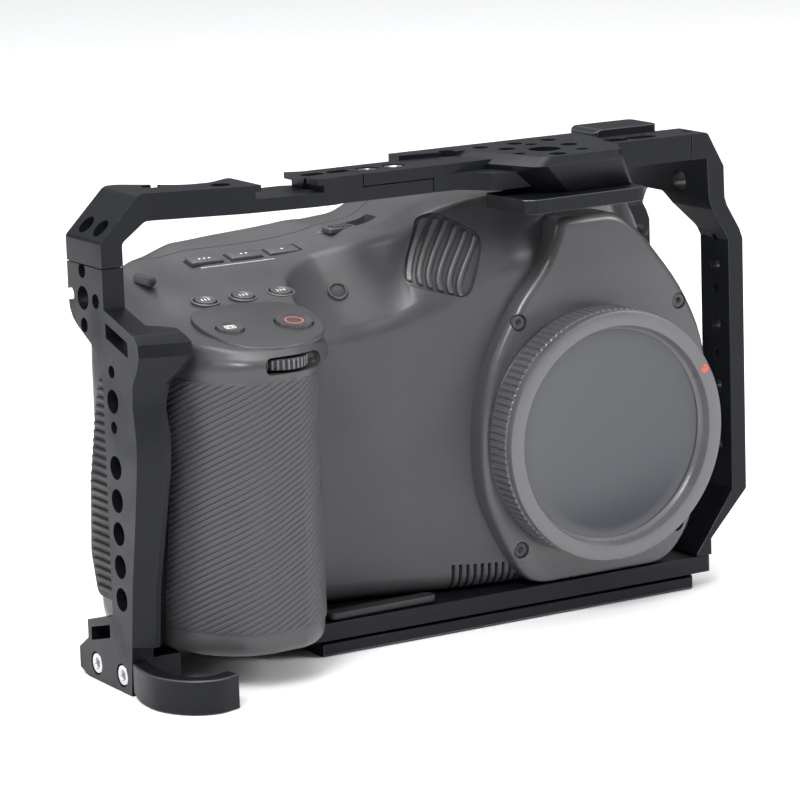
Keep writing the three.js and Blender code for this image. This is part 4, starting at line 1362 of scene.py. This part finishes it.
@dataclass
class SidePieces:
    """The card door, socket doors, lugs, lamp and small pieces of the body."""

    rib_pitch: float = 2.35
    rib_high: float = 1.35
    rib_front: float = -39.2
    door_edge: tuple[Flat, ...] = (
        (-21.5, 20.8), (-18.6, 32.0), (-19.8, 52.0), (-24.0, 70.0), (-28.0, 82.6),
    )
    lamp_aim: Point = (-0.2, -0.66, 0.68)

    def build(self, shell: Shell) -> None:
        """Builds the small pieces: the doors and buttons each on their own body, the rest on the
        rig.

        Args:
            shell: The body, for the depth of its surface.
        """
        self._card_door()
        for node, finish, width, moves in (
            ("socket_door_low", BLACK_RUBBER, 0.5, True),
            ("socket_door_high", BLACK_RUBBER, 0.5, True),
            ("strap_lug_left", DARK, 0.0, False),
            ("strap_lug_right", DARK, 0.0, False),
            ("menu_button", BUTTON, 0.35, True),
            ("play_button", BUTTON, 0.35, True),
            ("release_button", BUTTON, 0.35, True),
            ("battery_door", SHELL, 0.5, True),
            ("eyepiece_cover", DARK, 0.3, False),
            ("front_pad", BLACK_RUBBER, 0.5, False),
        ):
            dress(node, node + "_piece", finish, width, body=node if moves else "rig")
        self._lamp(shell)

    def _card_door(self) -> None:
        """Builds the ribbed door at the grip's end."""
        mesh = cast_copy("card_door")
        low, high = (Vector(c) * 1000 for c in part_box("card_door"))
        ribs = bmesh.new()
        rows = int((high.z - low.z - 3.0) / self.rib_pitch)
        for k in range(rows):
            z = low.z + 2.6 + k * self.rib_pitch
            start = (low.x - 0.75, self.rib_front, z - self.rib_high / 2)
            end = (low.x + 0.6, depth_at(self.door_edge, z) - 0.7, z + self.rib_high / 2)
            merge_into(ribs, block(start, end, 0.4, 2))
        merge_into(mesh, ribs)
        finish_piece("card_door_cover", mesh, (BLACK_RUBBER,), "card_door", 32.0, ("card_door",))

    def _lamp(self, shell: Shell) -> None:
        """Builds the round tally lamp with its ring.

        Args:
            shell: The body, for the depth of its surface.
        """
        low, high = (Vector(c) * 1000 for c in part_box("tally_lamp"))
        centre = (low + high) / 2
        out = Vector(self.lamp_aim).normalized()
        foot = at(centre.x, shell.front_at(centre.x, centre.z), centre.z) + out * mm(0.3)
        bezel = [
            (2.1, -1.6), (2.9, -1.6), (2.9, 0.35), (2.7, 0.6), (2.3, 0.6), (2.1, 0.4), (2.1, -1.6),
        ]
        lens = [(0, -1.2), (2.1, -1.2), (2.1, 0.1), (1.6, 0.35), (0, 0.5)]
        ring = lathe(bezel, foot, out, 40)
        merge_into(ring, lathe(lens, foot, out, 40), 1)
        finish_piece("tally_lamp_ring", ring, (SHELL_SMOOTH, DARK), replaced=("tally_lamp",))


@dataclass
class Screen:
    """The tilting screen and its arm."""

    arm_edge: float = 0.3
    case_edge: float = 0.8
    glass_edge: float = 0.2

    def build(self) -> None:
        """Builds the arm, the frame and the glass."""
        dress("screen_arm", "screen_arm_plate", STEEL, self.arm_edge, 30.0, 1, "screen_arm")
        dress("screen_frame", "screen_case", SHELL, self.case_edge, 50.0, 3, "screen")
        dress("screen_glass", "screen_pane", SCREEN, self.glass_edge, 50.0, 1, "screen")


@dataclass
class Inside:
    """The pieces inside the body, which keep their own meshes."""

    finishes: dict[str, Finish] = field(
        default_factory=lambda: {
            "sensor_module": DARK, "main_board": BOARD, "cooling_fan": DARK, "battery": DARK,
        }
    )

    def build(self) -> None:
        """Gives each inner piece its finish."""
        for node, finish in self.finishes.items():
            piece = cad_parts[node]
            piece.data.materials.clear()
            piece.data.materials.append(finish.build())
            LOG.info("%s: kept with %s", node, finish.name)


# ---------------------------------------------------------------- studio


@dataclass
class Lamp:
    """One soft light of the studio."""

    name: str
    place: Point
    size: float
    power: float
    aim: Point = (-0.05, -0.02, 0.06)


@dataclass
class Studio:
    """The pale floor, the soft lights and the camera."""

    eye: Point = (-0.57903, -0.92142, 0.275886)
    turn: float = 30.67
    tilt: float = 11.59
    roll: float = 1.75
    lens: float = 173.5
    lamps: tuple[Lamp, ...] = (
        Lamp("key_light", (-0.75, -0.75, 0.95), 0.5, 13.0),
        Lamp("right_light", (1.0, -1.0, 0.75), 0.6, 12.0),
        Lamp("left_light", (-1.3, 0.2, 0.6), 0.6, 5.0),
        Lamp("top_light", (0.0, 0.25, 1.3), 1.0, 12.0),
    )

    def build(self) -> None:
        """Builds the floor, the light and the camera."""
        self._floor()
        self._world()
        for lamp in self.lamps:
            self._lamp(lamp)
        self._camera()

    def _floor(self) -> None:
        """Builds the floor."""
        mesh = bmesh.new()
        bmesh.ops.create_grid(mesh, x_segments=1, y_segments=1, size=6.0)
        data = bpy.data.meshes.new("floor")
        mesh.to_mesh(data)
        mesh.free()
        paint = bpy.data.materials.new("floor_paint")
        paint.use_nodes = True
        shader = paint.node_tree.nodes["Principled BSDF"]
        shader.inputs["Base Color"].default_value = (0.93, 0.93, 0.93, 1.0)
        shader.inputs["Roughness"].default_value = 0.9
        data.materials.append(paint)
        floor = bpy.data.objects.new("floor", data)
        bpy.context.scene.collection.objects.link(floor)

    def _world(self) -> None:
        """Lights the room evenly."""
        world = bpy.data.worlds.new("room")
        world.use_nodes = True
        sky = world.node_tree.nodes["Background"]
        sky.inputs["Color"].default_value = (0.98, 0.99, 1.0, 1.0)
        nodes, links = world.node_tree.nodes, world.node_tree.links
        way = nodes.new("ShaderNodeTexCoord")
        parts = nodes.new("ShaderNodeSeparateXYZ")
        height = nodes.new("ShaderNodeMapRange")
        height.inputs["From Min"].default_value = 0.15
        height.inputs["From Max"].default_value = 0.9
        height.inputs["To Min"].default_value = 0.10
        height.inputs["To Max"].default_value = 1.15
        links.new(way.outputs["Generated"], parts.inputs["Vector"])
        links.new(parts.outputs["Z"], height.inputs["Value"])
        links.new(height.outputs["Result"], sky.inputs["Strength"])
        bpy.context.scene.world = world
        bpy.context.scene.view_settings.view_transform = "Standard"

    def _lamp(self, lamp: Lamp) -> None:
        """Adds one soft light.

        Args:
            lamp: The light's place, size and power.
        """
        data = bpy.data.lights.new(lamp.name, "AREA")
        data.shape = "DISK"
        data.size = lamp.size
        data.energy = lamp.power
        light = bpy.data.objects.new(lamp.name, data)
        light.location = lamp.place
        way = Vector(lamp.aim) - Vector(lamp.place)
        light.rotation_mode = "QUATERNION"
        light.rotation_quaternion = way.to_track_quat("-Z", "Y")
        bpy.context.scene.collection.objects.link(light)

    def _camera(self) -> None:
        """Places the camera."""
        data = bpy.data.cameras.new("view_camera")
        data.lens = self.lens
        data.sensor_width = 36.0
        camera = bpy.data.objects.new("view_camera", data)
        a, e, roll = (math.radians(v) for v in (self.turn, self.tilt, self.roll))
        back = Vector((-math.sin(a) * math.cos(e), -math.cos(a) * math.cos(e), math.sin(e)))
        side = Vector((math.cos(a), -math.sin(a), 0.0))
        over = back.cross(side)
        right = side * math.cos(roll) - over * math.sin(roll)
        up = side * math.sin(roll) + over * math.cos(roll)
        facing = Matrix((right, up, back)).transposed()
        camera.rotation_mode = "QUATERNION"
        camera.rotation_quaternion = facing.to_quaternion()
        camera.location = self.eye
        bpy.context.scene.collection.objects.link(camera)
        bpy.context.scene.camera = camera


def main() -> None:
    """Builds the whole rig and its studio."""
    logging.basicConfig(level=logging.INFO, format="%(message)s")
    shell, controls, grille = Shell(), Controls(), Grille()
    Cage().build()
    shell.build(controls, grille)
    Housing().build()
    grille.build(shell)
    GripRubber().build(shell)
    controls.build()
    BodyCap().build()
    SidePieces().build(shell)
    Screen().build()
    Inside().build()
    Studio().build()


if __name__ == "__main__":
    main()
